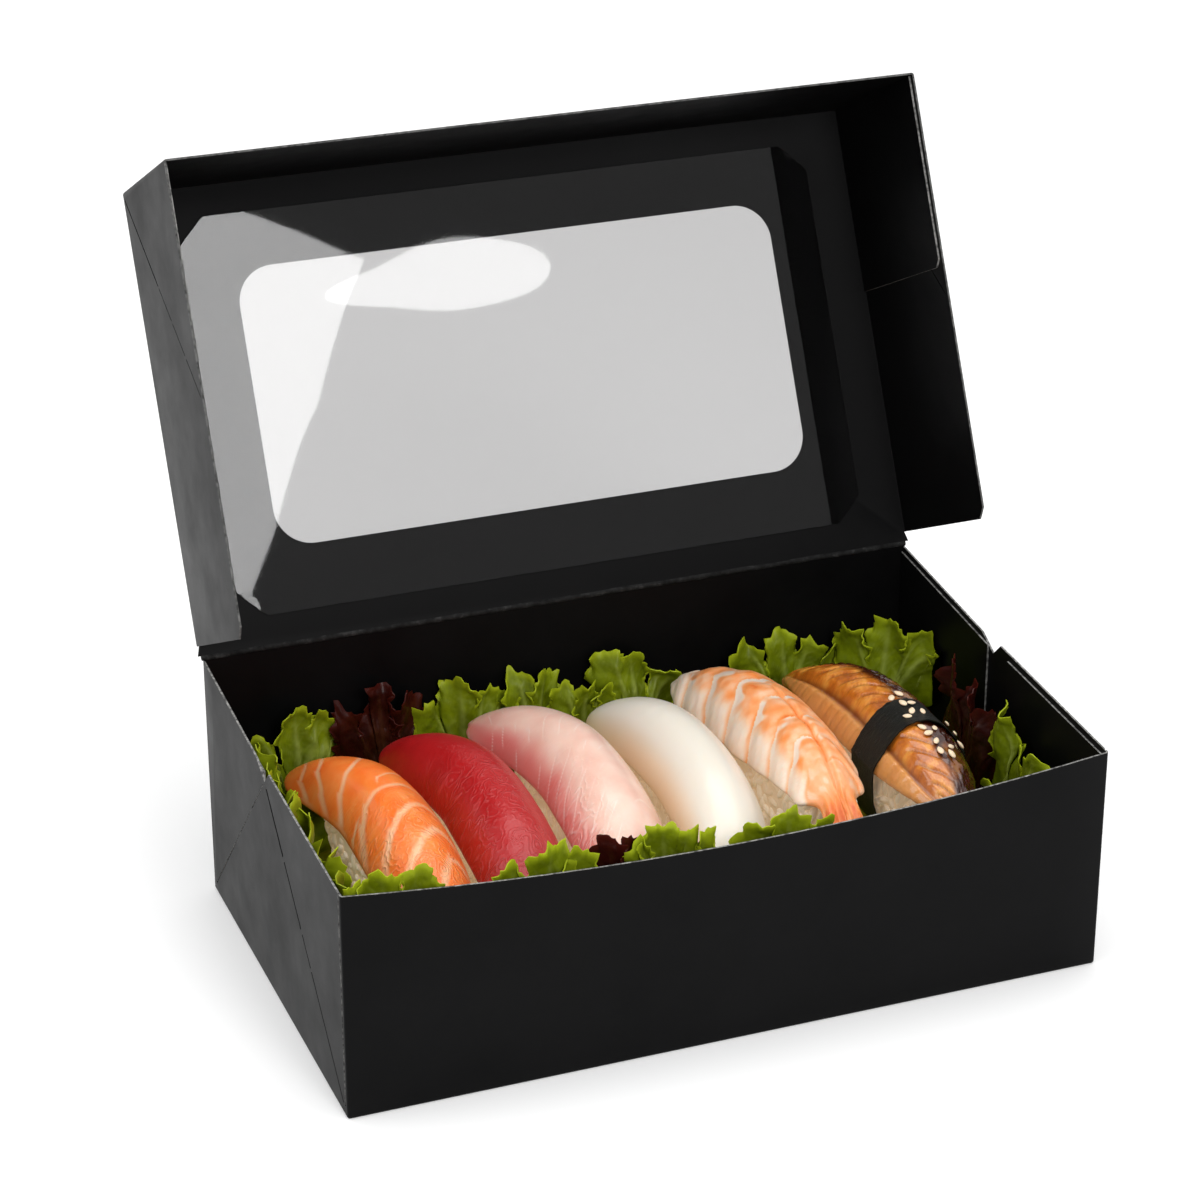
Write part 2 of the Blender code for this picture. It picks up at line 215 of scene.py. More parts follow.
def noise_on(node, link, place, **settings):
    """A noise texture read at a place socket."""
    made = node("TexNoise", **settings)
    link(place, made.inputs["Vector"])
    return made.outputs[0]


def coloured(node, link, shader, value, stops):
    """Base colour from a ramp over a value socket."""
    made = ramp(node, stops)
    link(value, made.inputs[0])
    link(made.outputs[0], shader.inputs["Base Color"])


def math_step(node, link, operation, a, b=0.0, c=0.0, clamp=False):
    made = node("Math", operation=operation, use_clamp=clamp)
    for index, value in enumerate((a, b, c)):
        if hasattr(value, "is_linked"):
            link(value, made.inputs[index])
        else:
            made.inputs[index].default_value = value
    return made.outputs[0]


def relief(node, link, shader, height, strength, distance):
    """Bump from a height socket into a shader's normal."""
    bump = node("Bump", Strength=strength, Distance=distance)
    link(height, bump.inputs["Height"])
    link(bump.outputs["Normal"], shader.inputs["Normal"])
    return bump


# %% [markdown]
# ## Camera, floor and light
# The camera comes first, so that every later look is taken from the same place. The floor is a plain pale sheet
# under plain soft light: one broad panel over the box, one to the left, and a smaller one in front. The front
# one is turned in its own plane, so the film's reflection of its corner lies across the window's left part; a
# narrow oval beside it draws that reflection out to the right.

# %% Camera, floor and lights
calm()
bpy.ops.object.camera_add(location=(-0.29551, -0.73450, 0.46665))
camera = bpy.context.object
camera.name = "camera"
camera.rotation_euler = (math.radians(64.736), 0.0, math.radians(-21.05))
camera.data.lens = 105.81
camera.data.sensor_width = 36.0
camera.data.clip_start = 0.01
bpy.context.scene.camera = camera

calm()
bpy.ops.mesh.primitive_plane_add(size=12.0)
floor = named("floor")
white, link, node, shader = surface(
    "floor_white",
    Base_Color=(0.90, 0.90, 0.90, 1.0),
    Roughness=0.9,
    Emission_Color=(1.0, 1.0, 1.0, 1.0),
    Emission_Strength=0.16,
)
dress(floor, white)


def light_panel(name, place, target, size, watts):
    calm()
    bpy.ops.object.light_add(type="AREA", location=place)
    lamp = bpy.context.object
    lamp.name = name
    lamp.data.shape = "RECTANGLE"
    lamp.data.size, lamp.data.size_y = size
    lamp.data.energy = watts
    lamp.rotation_euler = (Vector(target) - Vector(place)).to_track_quat("-Z", "Y").to_euler()
    return lamp


light_panel("panel_above", (0.1, 0.15, 1.5), (0.0, 0.0, 0.05), (1.6, 1.2), 13.0)
light_panel("panel_left", (-1.5, 0.1, 0.9), (0.0, 0.0, 0.05), (1.2, 0.9), 7.0)
# name, place, size, watts, shape, and the panel's own right, up and back directions as columns
TURNED_PANELS = (
    ("panel_front", (0.085, -1.165, 0.80), (0.36, 0.5), 6.0, "RECTANGLE",
     ((0.870, 0.424, 0.250), (-0.072, 0.620, -0.781), (-0.487, 0.661, 0.570))),
    ("panel_front_tongue", (0.392, -1.036, 0.862), (0.15, 0.034), 0.13, "ELLIPSE",
     ((0.973, -0.067, 0.280), (0.224, 0.512, -0.810), (-0.058, 0.851, 0.510))),
)
for name, place, size, watts, shape, axes in TURNED_PANELS:
    panel = light_panel(name, place, (0.0, 0.0, 0.1), size, watts)
    panel.data.shape = shape
    turn = Matrix(axes).to_quaternion().to_matrix().to_4x4()
    panel.matrix_world = Matrix.Translation(place) @ turn
world = bpy.data.worlds.new("pale_room")
bpy.context.scene.world = world
world.use_nodes = True
world.node_tree.nodes["Background"].inputs["Color"].default_value = (1.0, 1.0, 1.0, 1.0)
world.node_tree.nodes["Background"].inputs["Strength"].default_value = 0.62
bpy.context.scene.view_settings.view_transform = "Standard"

# %% [markdown]
# ## Black card
# The board is paper with a smooth black coating on both faces. The coating is nearly black and a little glossy,
# with faint mottling where the fibres show through; where the board is cut, its pale core shows as a fine line.
# The mottling is a slow noise on the roughness and a fine one on the height.

# %% Card finishes
card_black, link, node, shader = surface(
    "black_card", Base_Color=(0.0030, 0.0030, 0.0032, 1.0), Roughness=0.42, Specular_IOR_Level=0.065
)
place = node("TexCoord").outputs["Object"]
mottle = noise_on(node, link, place, Scale=55.0, Detail=5.0, Roughness=0.6)
fibre = noise_on(node, link, place, Scale=1900.0, Detail=3.0)
rough = node("MapRange", From_Min=0.3, From_Max=0.7, To_Min=0.37, To_Max=0.48)
link(mottle, rough.inputs[0])
link(rough.outputs[0], shader.inputs["Roughness"])
coloured(node, link, shader, mottle, [(0.25, (0.0022, 0.0022, 0.0024)), (0.75, (0.0040, 0.0039, 0.0041))])
relief(node, link, shader, fibre, 0.10, 0.00005)

card_core, link, node, shader = surface("card_core", Base_Color=(0.26, 0.255, 0.245, 1.0), Roughness=0.85)
speck = noise_on(node, link, node("TexCoord").outputs["Object"], Scale=900.0, Detail=4.0)
coloured(node, link, shader, speck, [(0.34, (0.055, 0.054, 0.053)), (0.66, (0.34, 0.335, 0.32))])

# The lid's cut edges get a darker copy of the same pale core: painted shade on the lid's rims.
card_core_painted_shade = card_core.copy()
card_core_painted_shade.name = "card_core_painted_shade"
for element, grey in zip(card_core_painted_shade.node_tree.nodes["Color Ramp"].color_ramp.elements, (0.022, 0.13)):
    element.color = (grey, grey, grey * 0.97, 1.0)

card_worn, link, node, shader = surface(
    "worn_crease", Base_Color=(0.05, 0.05, 0.05, 1.0), Roughness=0.7, Specular_IOR_Level=0.1
)
wear = noise_on(node, link, node("TexCoord").outputs["Object"], Scale=420.0, Detail=5.0, Roughness=0.7)
wear_tones = [(0.36, (0.004, 0.004, 0.004)), (0.56, (0.016, 0.016, 0.016)), (0.74, (0.055, 0.055, 0.054))]
coloured(node, link, shader, wear, wear_tones)

# %% [markdown]
# ## The tray
# The tray is one sheet folded up at its four sides. It is made from a cube with no top: the folds are beveled
# into small rounds, the front wall is divided and its rim dropped and bowed where the food leans on it, and the
# end walls are cut to their sloping, notched tops. The sheet gets its thickness last, with the pale core on its
# cut edges. The creases of the folding corners are shallow grooves, with slits where they are perforated.

# %% Tray sizes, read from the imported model
tray_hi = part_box("tray")[1]
HALF_W = tray_hi.x / MM
HALF_D = tray_hi.y / MM
BACK_H = tray_hi.z / MM
hinge = frame["record"]["behaviour"]["joints"][0]
HINGE_Y = hinge["pos_m"][1] / MM
HINGE_Z = hinge["pos_m"][2] / MM
OPEN = math.radians(hinge["range_deg"][1])
CARD = 0.5
FRONT_H = 60.6
FRONT_DIP = 5.0
FRONT_BOW = 1.6
FOLD = 0.7
NOTCH = ((10.0, 62.8), (3.2, 59.4), (-0.6, 63.2))
print("tray half sizes", HALF_W, HALF_D, "back wall", BACK_H, "opens", round(math.degrees(OPEN), 1))


def end_top(y):
    """Height of an end wall's top edge at a depth."""
    edge = [(HALF_D, BACK_H), *NOTCH, (-HALF_D, FRONT_H)]
    for (y0, z0), (y1, z1) in zip(edge, edge[1:]):
        if y0 >= y >= y1:
            return z0 + (z1 - z0) * (y0 - y) / (y0 - y1)
    return FRONT_H


def on_end(face):
    return abs(face.normal.x) > 0.9


# %% The folded sheet
tray = block("tray_board", (-HALF_W, -HALF_D, 0.0), (HALF_W, HALF_D, BACK_H))
pick(tray, "FACE", lambda f: f.normal.z > 0.9)
bpy.ops.mesh.delete(type="FACE")
for cut in [y for y, _ in NOTCH] + [-50.0, -40.0, -30.0, -20.0, -10.0, 20.0, 30.0, 40.0, 50.0]:
    pick(tray, "FACE", on_end)
    bpy.ops.mesh.bisect(plane_co=(0.0, cut * MM, 0.0), plane_no=(0.0, 1.0, 0.0))
pick(tray, "FACE", lambda f: f.normal.y < -0.9)
bpy.ops.mesh.subdivide(number_cuts=15)
leave_edit()
for vert in tray.data.vertices:
    x, y, z = vert.co / MM
    if abs(y + HALF_D) < 0.01:
        sag = 1.0 - (x / HALF_W) ** 2
        up = z / BACK_H
        vert.co = Vector((x, y - FRONT_BOW * sag * up, up * (FRONT_H - FRONT_DIP * sag))) * MM
    elif z > BACK_H - 0.1:
        vert.co.z = end_top(y) * MM

# %% Round folds, thickness and pale rims
def is_fold(edge):
    a, b = edge_ends(tray, edge)
    low = max(a.z, b.z) < 0.1 * MM
    on_side = abs(abs(a.x) - HALF_W * MM) < 0.1 * MM and abs(abs(b.x) - HALF_W * MM) < 0.1 * MM
    on_face = all(abs(p.y - HALF_D * MM) < 0.1 * MM for p in (a, b))
    on_front = all(p.y < (-HALF_D + 0.1) * MM for p in (a, b))
    upright = on_side and (on_face or on_front)
    return upright or (low and (on_side or on_face or on_front))


print("fold edges", pick(tray, "EDGE", is_fold))
bpy.ops.mesh.bevel(offset=FOLD * MM, segments=3, affect="EDGES", clamp_overlap=True)
leave_edit()
dress(tray, card_black, card_core)
apply_modifier(
    tray, "SOLIDIFY", thickness=CARD * MM, offset=-1.0, use_even_offset=True, material_offset_rim=1
)


def hide_hinge_edge(obj, near):
    """The sheet runs on through the crease, so the edge that faces it shows coating and no core."""
    for face in obj.data.polygons:
        if face.material_index == 1 and near(face.center / MM):
            face.material_index = 0


hide_hinge_edge(tray, lambda c: c.y > HALF_D - 0.8 and c.z > BACK_H - 0.8)

# %% Grooves and slits along the corner creases
def score(name, start, end, width, depth, reach):
    """A thin wedge lying along a line on an end wall; it cuts `depth` into the face at x = reach."""
    start = Vector(start)
    end = Vector(end)
    middle = (start + end) / 2
    run = end - start
    calm()
    bpy.ops.mesh.primitive_cube_add(size=1.0)
    bar = bpy.context.object
    bar.scale = Vector((2 * depth, width, run.length)) * MM
    bar.rotation_euler = (math.atan2(-run.y, run.z), 0.0, 0.0)
    bar.location = Vector((reach, middle.y, middle.z)) * MM
    return named(name)


def crease_cuts(side):
    """The crease from the notch to each bottom corner of one end wall, perforated in its upper part."""
    face = side * HALF_W
    low_y, low_z = NOTCH[1]
    cuts = []
    for corner_y in (-HALF_D + 2.2, HALF_D - 2.2):
        top = Vector((0.0, low_y, low_z))
        foot = Vector((0.0, corner_y, 2.2))
        line = foot - top
        wide = 0.95 if corner_y < 0.0 else 0.38
        for a, b, share in ((0.02, 0.235, 1.0), (0.25, 0.46, 0.75), (0.475, 0.58, 0.6)):
            cuts.append(score("slit", top + line * a, top + line * b, wide * share, 0.42, face))
        cuts.append(score("groove", top + line * 0.59, top + line * 0.985, max(0.5, wide * 0.6), 0.24, face))
    for start, end in ((58.4, 13.0), (11.5, 3.0)):
        foot = Vector((0.0, -HALF_D + 1.7, end))
        cuts.append(score("corner", Vector((0.0, -HALF_D + 1.7, start + 3.0)), foot, 0.85, 0.40, face))
    return cuts


def pale_sides(obj):
    """The cut walls that look forward are seen edge on: they show the board's core."""
    for face in obj.data.polygons:
        face.material_index = int(face.normal.y > 0.7)


cutter = joined("crease_cutter", crease_cuts(-1) + crease_cuts(1))
dress(cutter, card_black, card_core)
pale_sides(cutter)
apply_modifier(tray, "BOOLEAN", operation="DIFFERENCE", solver="EXACT", object=cutter, use_self=True)
bpy.data.objects.remove(cutter)
shaded(tray, 40.0)


# %% [markdown]
# The walls hold because flaps folded round from the front and back walls are glued inside the end walls. Each is
# a flat cut card: a circle primitive with as many corners as the card, its corners dragged to the outline.

# %% Glued inner flaps
def cut_card(name, corners, away, thickness=CARD):
    """A flat card with the given corners, thickened towards `away`, its rim showing the core."""
    calm()
    bpy.ops.mesh.primitive_circle_add(vertices=len(corners), fill_type="NGON", radius=1.0)
    card = named(name)
    for vert, corner in zip(card.data.vertices, corners):
        vert.co = Vector(corner) * MM
    card.data.update()
    if card.data.polygons[0].normal.dot(Vector(away)) > 0.0:
        card.data.flip_normals()
    dress(card, card_black, card_core)
    apply_modifier(card, "SOLIDIFY", thickness=thickness * MM, offset=-1.0, material_offset_rim=1)
    return card


flaps = []
for side in (-1, 1):
    wall = side * (HALF_W - CARD - 0.02)
    drop = 1.6
    back = [(HALF_D - 0.6, 1.4), (5.6, 1.4), (5.2, 40.0), (5.6, 40.6), (5.6, 60.9), (HALF_D - 0.6, BACK_H - drop)]
    front = [(-HALF_D + 0.6, 1.4), (-HALF_D + 0.6, FRONT_H - drop), (-5.6, 61.2), (-5.6, 1.4)]
    for outline in (back, front):
        flaps.append(cut_card("flap", [(wall, y, z) for y, z in outline], (-side, 0.0, 0.0)))
tray = joined("tray_board", [tray, *flaps])
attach(tray, "box")
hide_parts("tray")
print("tray", len(tray.data.polygons), "faces")

# %% [markdown]
# ## The lid
# The lid is folded from the same board and made the same way, lying flat in its own plane: x along the box, y
# away from the hinge, z to its inside. It is turned into its open place at the end, so its hinge line meets the
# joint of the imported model.

# %% Lid sizes and its place
LID_HALF = 100.45
LID_LEN = 120.6
LID_WALL = 51.7
LID_START = 0.3
SIDE_START = 2.9
WINDOW_HALF = 74.8
WINDOW_Y = (24.6, 97.6)
WINDOW_ROUND = 10.0
lid_place = Matrix.Translation(Vector((0.0, HINGE_Y, HINGE_Z)) * MM) @ Matrix(
    (
        (1.0, 0.0, 0.0, 0.0),
        (0.0, -math.cos(OPEN), -math.sin(OPEN), 0.0),
        (0.0, math.sin(OPEN), -math.cos(OPEN), 0.0),
        (0.0, 0.0, 0.0, 1.0),
    )
)

# %% The folded lid
lid = block("lid_board", (-LID_HALF, LID_START, 0.0), (LID_HALF, LID_LEN, LID_WALL))
pick(lid, "FACE", lambda f: f.normal.z > 0.9 or f.normal.y < -0.9)
bpy.ops.mesh.delete(type="FACE")
pick(lid, "FACE", on_end)
bpy.ops.mesh.bisect(plane_co=(0.0, SIDE_START * MM, 0.0), plane_no=(0.0, 1.0, 0.0))
pick(lid, "FACE", lambda f: on_end(f) and f.center.y < SIDE_START * MM)
bpy.ops.mesh.delete(type="FACE")
pick(lid, "VERT", lambda v: v.co.z > 1.0 * MM and v.co.y < (SIDE_START + 0.1) * MM)
bpy.ops.mesh.bevel(offset=3.0 * MM, segments=1, affect="VERTICES")


def lid_fold(edge):
    a, b = edge_ends(lid, edge)
    at_side = all(abs(abs(p.x) - LID_HALF * MM) < 0.1 * MM for p in (a, b))
    at_front = all(p.y > (LID_LEN - 0.1) * MM for p in (a, b))
    flat = max(a.z, b.z) < 0.1 * MM
    started = min(a.y, b.y) > (SIDE_START - 0.1) * MM
    return (at_side and at_front) or (flat and (at_front or (at_side and started)))


print("lid folds", pick(lid, "EDGE", lid_fold))
bpy.ops.mesh.bevel(offset=FOLD * MM, segments=3, affect="EDGES", clamp_overlap=True)
leave_edit()
# The lid's rims take the darker copy of the core, which is painted shade.
dress(lid, card_black, card_core_painted_shade)
apply_modifier(
    lid, "SOLIDIFY", thickness=CARD * MM, offset=-1.0, use_even_offset=True, material_offset_rim=1
)

hide_hinge_edge(lid, lambda c: c.y < 1.0 and c.z < 1.0)

# %% Window opening and creases
window = block("window_cut", (-WINDOW_HALF, WINDOW_Y[0], -3.0), (WINDOW_HALF, WINDOW_Y[1], 3.0))
pick(window, "EDGE", lambda e: abs((edge_ends(window, e)[0] - edge_ends(window, e)[1]).z) > MM)
bpy.ops.mesh.bevel(offset=WINDOW_ROUND * MM, segments=12, affect="EDGES")
leave_edit()
cuts = [window]
for side in (-1, 1):
    start = Vector((0.0, LID_LEN - 1.6, 1.4))
    line = Vector((0.0, 61.5, LID_WALL - 0.6)) - start
    for a, b in ((0.46, 0.62), (0.635, 0.79), (0.805, 0.985)):
        cuts.append(score("slit", start + line * a, start + line * b, 0.34, 1.2, side * LID_HALF))
    cuts.append(score("groove", start + line * 0.01, start + line * 0.45, 0.6, 0.16, side * LID_HALF))
cutter = joined("lid_cutter", cuts)
dress(cutter, card_core)
apply_modifier(lid, "BOOLEAN", operation="DIFFERENCE", solver="EXACT", object=cutter, use_self=True)
bpy.data.objects.remove(cutter)
shaded(lid, 40.0)

# %% Corner flaps, and the lid in its place
flaps = []
for side in (-1, 1):
    wall = side * (LID_HALF - CARD - 0.02)
    near = LID_LEN - 51.0
    outline = [(near, 0.9), (LID_LEN - 0.7, 0.9), (LID_LEN - 0.7, 50.4), (near + 2.0, 50.4), (near, 48.4)]
    flaps.append(cut_card("flap", [(wall, y, z) for y, z in outline], (-side, 0.0, 0.0)))
lid = joined("lid_board", [lid, *flaps])
lid.data.transform(lid_place)
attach(lid, "lid")
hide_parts("lid")
print("lid", len(lid.data.polygons), "faces")

# %% [markdown]
# The lid turns on a crease of the same sheet. The coating has cracked along it, so the crease is a worn, greyish
# line. It is a thin rod along the joint's axis, which looks the same at every angle of the lid.

# %% The hinge crease
calm()
bpy.ops.mesh.primitive_cylinder_add(
    vertices=16,
    radius=0.85 * MM,
    depth=2 * (HALF_W + 0.2) * MM,
    location=Vector((0.0, HINGE_Y + 0.1, HINGE_Z - 0.15)) * MM,
    rotation=(0.0, math.radians(90.0), 0.0),
)
crease = named("hinge_crease")
pick(crease, "EDGE", lambda e: (edge_ends(crease, e)[0] - edge_ends(crease, e)[1]).length > 0.1)
bpy.ops.mesh.subdivide(number_cuts=60)
leave_edit()
for vert in crease.data.vertices:
    shift = noise.noise(Vector((vert.co.x * 90.0, 0.0, 4.0)))
    vert.co.z += 0.12 * MM * shift
    vert.co.y += 0.10 * MM * noise.noise(Vector((vert.co.x * 140.0, 7.0, 0.0)))
dress(crease, card_worn)
shaded(crease, 60.0)
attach(crease, "box")

# %% [markdown]
# The window film is glued inside the lid, so it is larger than the window and shows glossy over the black board
# round it. A real film is never flat: it is a fine grid, gently warped and pulled at its corners, because the
# warp is what bends the edges of the reflections. Over the window both its faces shine; over the board the inner
# face is wet with glue and only the outer one does, so each point stores whether it is free.

# %% Window film
film_clear, link, node, shader = surface(
    "window_film", Base_Color=(0.485, 0.480, 0.480, 1.0), Roughness=0.015, IOR=1.34, Transmission_Weight=1.0
)
gloss = node("MapRange", From_Min=0.0, From_Max=1.0, To_Min=0.045, To_Max=0.36)
link(stored(node, "free"), gloss.inputs[0])
link(gloss.outputs[0], shader.inputs["Specular IOR Level"])
FILM_HALF = 88.0
FILM_Y = (8.0, 112.0)
FILM_CUT = 7.0
FILM_Z = 0.85
calm()
bpy.ops.mesh.primitive_grid_add(x_subdivisions=120, y_subdivisions=80, size=2.0)
film = named("film")


def film_point(x, y):
    """Film height over the panel: flat near its glued edge, a slow warp over the window."""
    swell = (1.0 - x * x) * (1.0 - y * y)
    warp = 0.10 * noise.noise(Vector((x * 2.3, y * 1.7, 3.1)))
    return FILM_Z + swell * warp


free = film.data.attributes.new("free", "FLOAT", "POINT")
for index, vert in enumerate(film.data.vertices):
    x, y = vert.co.x, vert.co.y
    wide = FILM_HALF * x
    tall = (FILM_Y[0] + FILM_Y[1]) / 2 + (FILM_Y[1] - FILM_Y[0]) / 2 * y
    corner = abs(wide) - FILM_HALF + abs(tall - sum(FILM_Y) / 2) - (FILM_Y[1] - FILM_Y[0]) / 2 + FILM_CUT
    if corner > 0.0:
        wide -= math.copysign(corner / 2, wide)
        tall -= math.copysign(corner / 2, y)
    inside = abs(wide) < WINDOW_HALF and WINDOW_Y[0] < tall < WINDOW_Y[1]
    free.data[index].value = float(inside)
    vert.co = Vector((wide, tall, film_point(x, y))) * MM
apply_modifier(film, "SOLIDIFY", thickness=0.08 * MM, offset=0.0)
film.data.transform(lid_place)
dress(film, film_clear)
shaded(film, 60.0)
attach(film, "lid")
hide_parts("window_film")

# %% [markdown]
# ## The six nigiri: shape
# Every topping is a slice draped over a block of rice. Its outline, the drop of its top from the crown, the
# sideways curl of its ends and its thickness are written as small functions, because the rice below and the
# grains round it have to follow the same slice. `u` runs along it from -1 (front) to 1 (back), `v` across it.

# %% Slices as functions
class Slice:
    """One draped slice: its place, half length, half width, crown height, curl (front, back) and thickness."""

    def __init__(self, name, x, y, half_l, half_w, top, curl, thick, rice):
        self.name = name
        self.x, self.y = x, y
        self.half_l, self.half_w = half_l, half_w
        self.top = top
        self.curl = curl
        self.thick = thick
        self.rice = rice

    def outline(self, u):
        return max(0.42, (1.0 - abs(u) ** 4.0) ** 0.38)

    def drop(self, u, v):
        return 13.5 * abs(u) ** 2.6 + 11.0 * abs(v * self.outline(u)) ** 2.3

    def centre(self, u):
        return -self.curl[u > 0.0] * u * u

    def depth(self, u, v):
        return self.thick * (1.0 - 0.42 * abs(v) ** 2 - 0.2 * abs(u) ** 3)

    def under(self, across, along):
        """Height of the slice's underside over a place, for the rice."""
        u = max(-1.0, min(1.0, along / self.half_l))
        v = (across - self.centre(u)) / (self.half_w * self.outline(u))
        v = max(-1.25, min(1.25, v))
        return self.top - self.drop(u, v) - self.depth(u, min(abs(v), 1.0))


class PrawnSlice(Slice):
    """A cooked prawn narrows towards its tail, which spreads again at the front."""

    def outline(self, u):
        body = (1.0 - min(1.0, max(0.0, u)) ** 3.6) ** 0.5
        body = max(0.36, body * (1.0 - 0.50 * min(0.9, max(0.0, 0.1 - u)) ** 1.7))
        shell = 0.36 + 0.55 * max(0.0, -0.74 - u)
        tail = 1.0 - min(1.0, max(0.0, (u + 0.80) / 0.16))
        tail = tail * tail * (3.0 - 2.0 * tail)
        return body * (1.0 - tail) + shell * tail


class EelSlice(Slice):
    """An eel fillet has pointed ends and a groove along it between two lobes."""

    def outline(self, u):
        return max(0.24, (1.0 - abs(u) ** 2.4) ** 0.6)

    def groove(self, u, v):
        return 2.0 * math.exp(-(((v + 0.66) / 0.10) ** 2)) * (1.0 - abs(u) ** 6)

    def drop(self, u, v):
        return super().drop(u, v) + self.groove(u, v)

    def depth(self, u, v):
        return super().depth(u, v) - self.groove(u, v)


SLICES = {
    item.name: item
    for item in (
        Slice("salmon", -69.5, -6.0, 44.0, 12.0, 56.5, (2.0, 11.0), 6.0, (12.2, 36.0)),
        Slice("tuna", -44.5, -5.0, 45.0, 12.0, 57.5, (3.5, 10.0), 7.0, (10.4, 36.0)),
        Slice("yellowtail", -18.0, -3.0, 46.5, 12.4, 59.0, (4.0, 11.5), 6.5, (11.2, 36.0)),
        Slice("squid", 9.0, -6.0, 44.0, 12.0, 58.5, (5.0, 6.5), 6.0, (10.6, 36.0)),
        PrawnSlice("prawn", 36.5, -2.5, 49.0, 12.8, 58.5, (3.0, 8.0), 6.0, (11.2, 34.0)),
        EelSlice("eel", 65.5, -6.0, 45.0, 13.0, 58.0, (2.0, 9.0), 7.0, (11.4, 35.0)),
    )
}
RICE_FOOT = 23.5
EEL_FOOT = 25.1


def smooth(low, high, value):
    """0 below `low`, 1 above `high`, an S between them."""
    t = max(0.0, min(1.0, (value - low) / (high - low)))
    return t * t * (3.0 - 2.0 * t)


def bump_at(value, centre, half):
    """A smooth hump, 1 at the centre and 0 beyond `half`."""
    t = min(1.0, abs(value - centre) / half)
    return (1.0 - t * t) ** 2


def wander(x, y, seed, scale):
    """Smooth noise from -1 to 1 over a place in millimetres."""
    return noise.noise(Vector((x / scale, y / scale, seed * 7.3)))


def on_slice(name, u, v):
    """Millimetres across and along a slice for its own v and u."""
    return SLICES[name].half_w * v, SLICES[name].half_l * u


# %% [markdown]
# A slice is made from a ball: the ball's poles become its two ends and its equator its long sides. The rings are
# spread so the ends and the side edges come out round while the rings over the top stay even and fine, because
# the flesh's relief is worked into them. Each point keeps its place on the slice, for the colours.

# %% From a ball to a draped slice
END_RINGS = 0.94


def end_round(s, power=9.0):
    """Position along the slice and fullness of its section for a ring, from -1 to 1."""
    a = abs(s)
    if a < END_RINGS:
        u = a / END_RINGS * 0.985
        full = (1.0 - u**power) ** (1.0 / power)
    else:
        full = (1.0 - 0.985**power) ** (1.0 / power) * (1.0 - a) / (1.0 - END_RINGS)
        u = (1.0 - full**power) ** (1.0 / power)
    return math.copysign(u, s), full


def section_point(turn, power=2.7):
    """Across and up, each from -1 to 1, for a share of the way round the section; half of it goes to the top."""
    turn %= 1.0
    if turn < 0.5:
        angle = math.radians(28.0 + 248.0 * turn)
    else:
        angle = math.radians(152.0 + 472.0 * (turn - 0.5))
    c, s = math.cos(angle), math.sin(angle)
    size = (abs(c) ** power + abs(s) ** power) ** (-1.0 / power)
    return size * c, size * s


def draped(item, relief_of, rings=170, segments=200):
    """The slice's mesh, with relief along its normals and its "lay" (across, along, up) stored at each point."""
    calm()
    bpy.ops.mesh.primitive_uv_sphere_add(segments=segments, ring_count=rings, radius=1.0)
    obj = named("topping_" + item.name)
    places = []
    for vert in obj.data.vertices:
        x, y, z = vert.co
        s = 1.0 - 2.0 * math.acos(max(-1.0, min(1.0, z))) / math.pi
        u, full = end_round(s)
        across, up = section_point(math.atan2(y, x) / (2.0 * math.pi))
        v = across * full
        up *= full
        places.append((u, v, up))
        low = item.depth(u, v) * (0.5 - 0.5 * up)
        x = item.x + v * item.half_w * item.outline(u) + item.centre(u)
        vert.co = Vector((x, item.y + u * item.half_l, item.top - item.drop(u, v) - low)) * MM
    face_outward(obj)
    normals = [vert.normal.copy() for vert in obj.data.vertices]
    lay = obj.data.attributes.new("lay", "FLOAT_VECTOR", "POINT")
    for vert, normal, place, item_lay in zip(obj.data.vertices, normals, places, lay.data):
        u, v, up = place
        item_lay.vector = (v * item.half_w, u * item.half_l, up)
        vert.co += normal * relief_of(u, v, up) * MM
    shaded(obj, 75.0)
    return obj


def paint(obj, name, value_of):
    """A number at every point of a slice, worked out from its lay (across and along in mm, up)."""
    lay = obj.data.attributes["lay"].data
    values = [value_of(*item.vector) for item in lay]
    made = obj.data.attributes.new(name, "FLOAT", "POINT")
    for item, value in zip(made.data, values):
        item.value = value
    return obj


def place_topping(obj, item, *materials):
    dress(obj, *materials)
    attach(obj, "box")
    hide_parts("topping_" + item.name)


# %% [markdown]
# ### Salmon
# The flesh is orange with pale lines of fat. Each line starts straight across the right side, bends over the
# crown and runs down the left side towards the front. The lines are sunk a little, and the flesh between them
# has a fine wet grain that is strongest at the front; its ridges carry a painted sheen in a lighter orange.

# %% Salmon
FAT_LINES = (
    # half width, then the points the line runs through from right to left: across, along
    (0.50, ((5.0, 43.0), (1.0, 42.0), (-9.6, 32.3), (-11.6, 26.0), (-12.4, 21.0))),
    (0.55, ((8.0, 39.0), (0.0, 34.8), (-7.0, 27.9), (-10.2, 20.5), (-12.4, 13.0))),
    (0.70, ((12.0, 32.0), (7.2, 27.5), (-5.0, 17.0), (-8.8, 12.8), (-11.6, 6.3), (-12.4, 2.0))),
    (0.45, ((12.0, 12.5), (7.0, 11.0), (2.8, 9.4), (-1.2, 7.7), (-2.8, 4.6))),
    (0.85, ((12.0, -0.5), (8.0, 1.0), (3.4, 1.8), (-4.0, 1.4), (-7.0, -0.2),
            (-9.4, -4.5), (-11.4, -11.5), (-12.4, -16.0))),
    (0.45, ((-8.3, -0.5), (-9.6, -0.9), (-11.4, -2.6), (-12.4, -5.0))),
    (1.05, ((12.0, -11.5), (8.5, -8.8), (5.0, -7.9), (2.0, -8.8), (-1.8, -11.6),
            (-5.4, -15.8), (-8.6, -21.0), (-10.8, -26.5), (-12.4, -31.0))),
    (1.20, ((12.0, -21.0), (8.0, -17.6), (5.2, -17.8), (1.6, -21.3), (-1.8, -25.6), (-6.6, -31.0), (-12.4, -40.0))),
    (1.00, ((12.0, -28.0), (9.0, -26.5), (6.5, -27.5), (3.4, -34.5), (1.0, -42.0))),
)


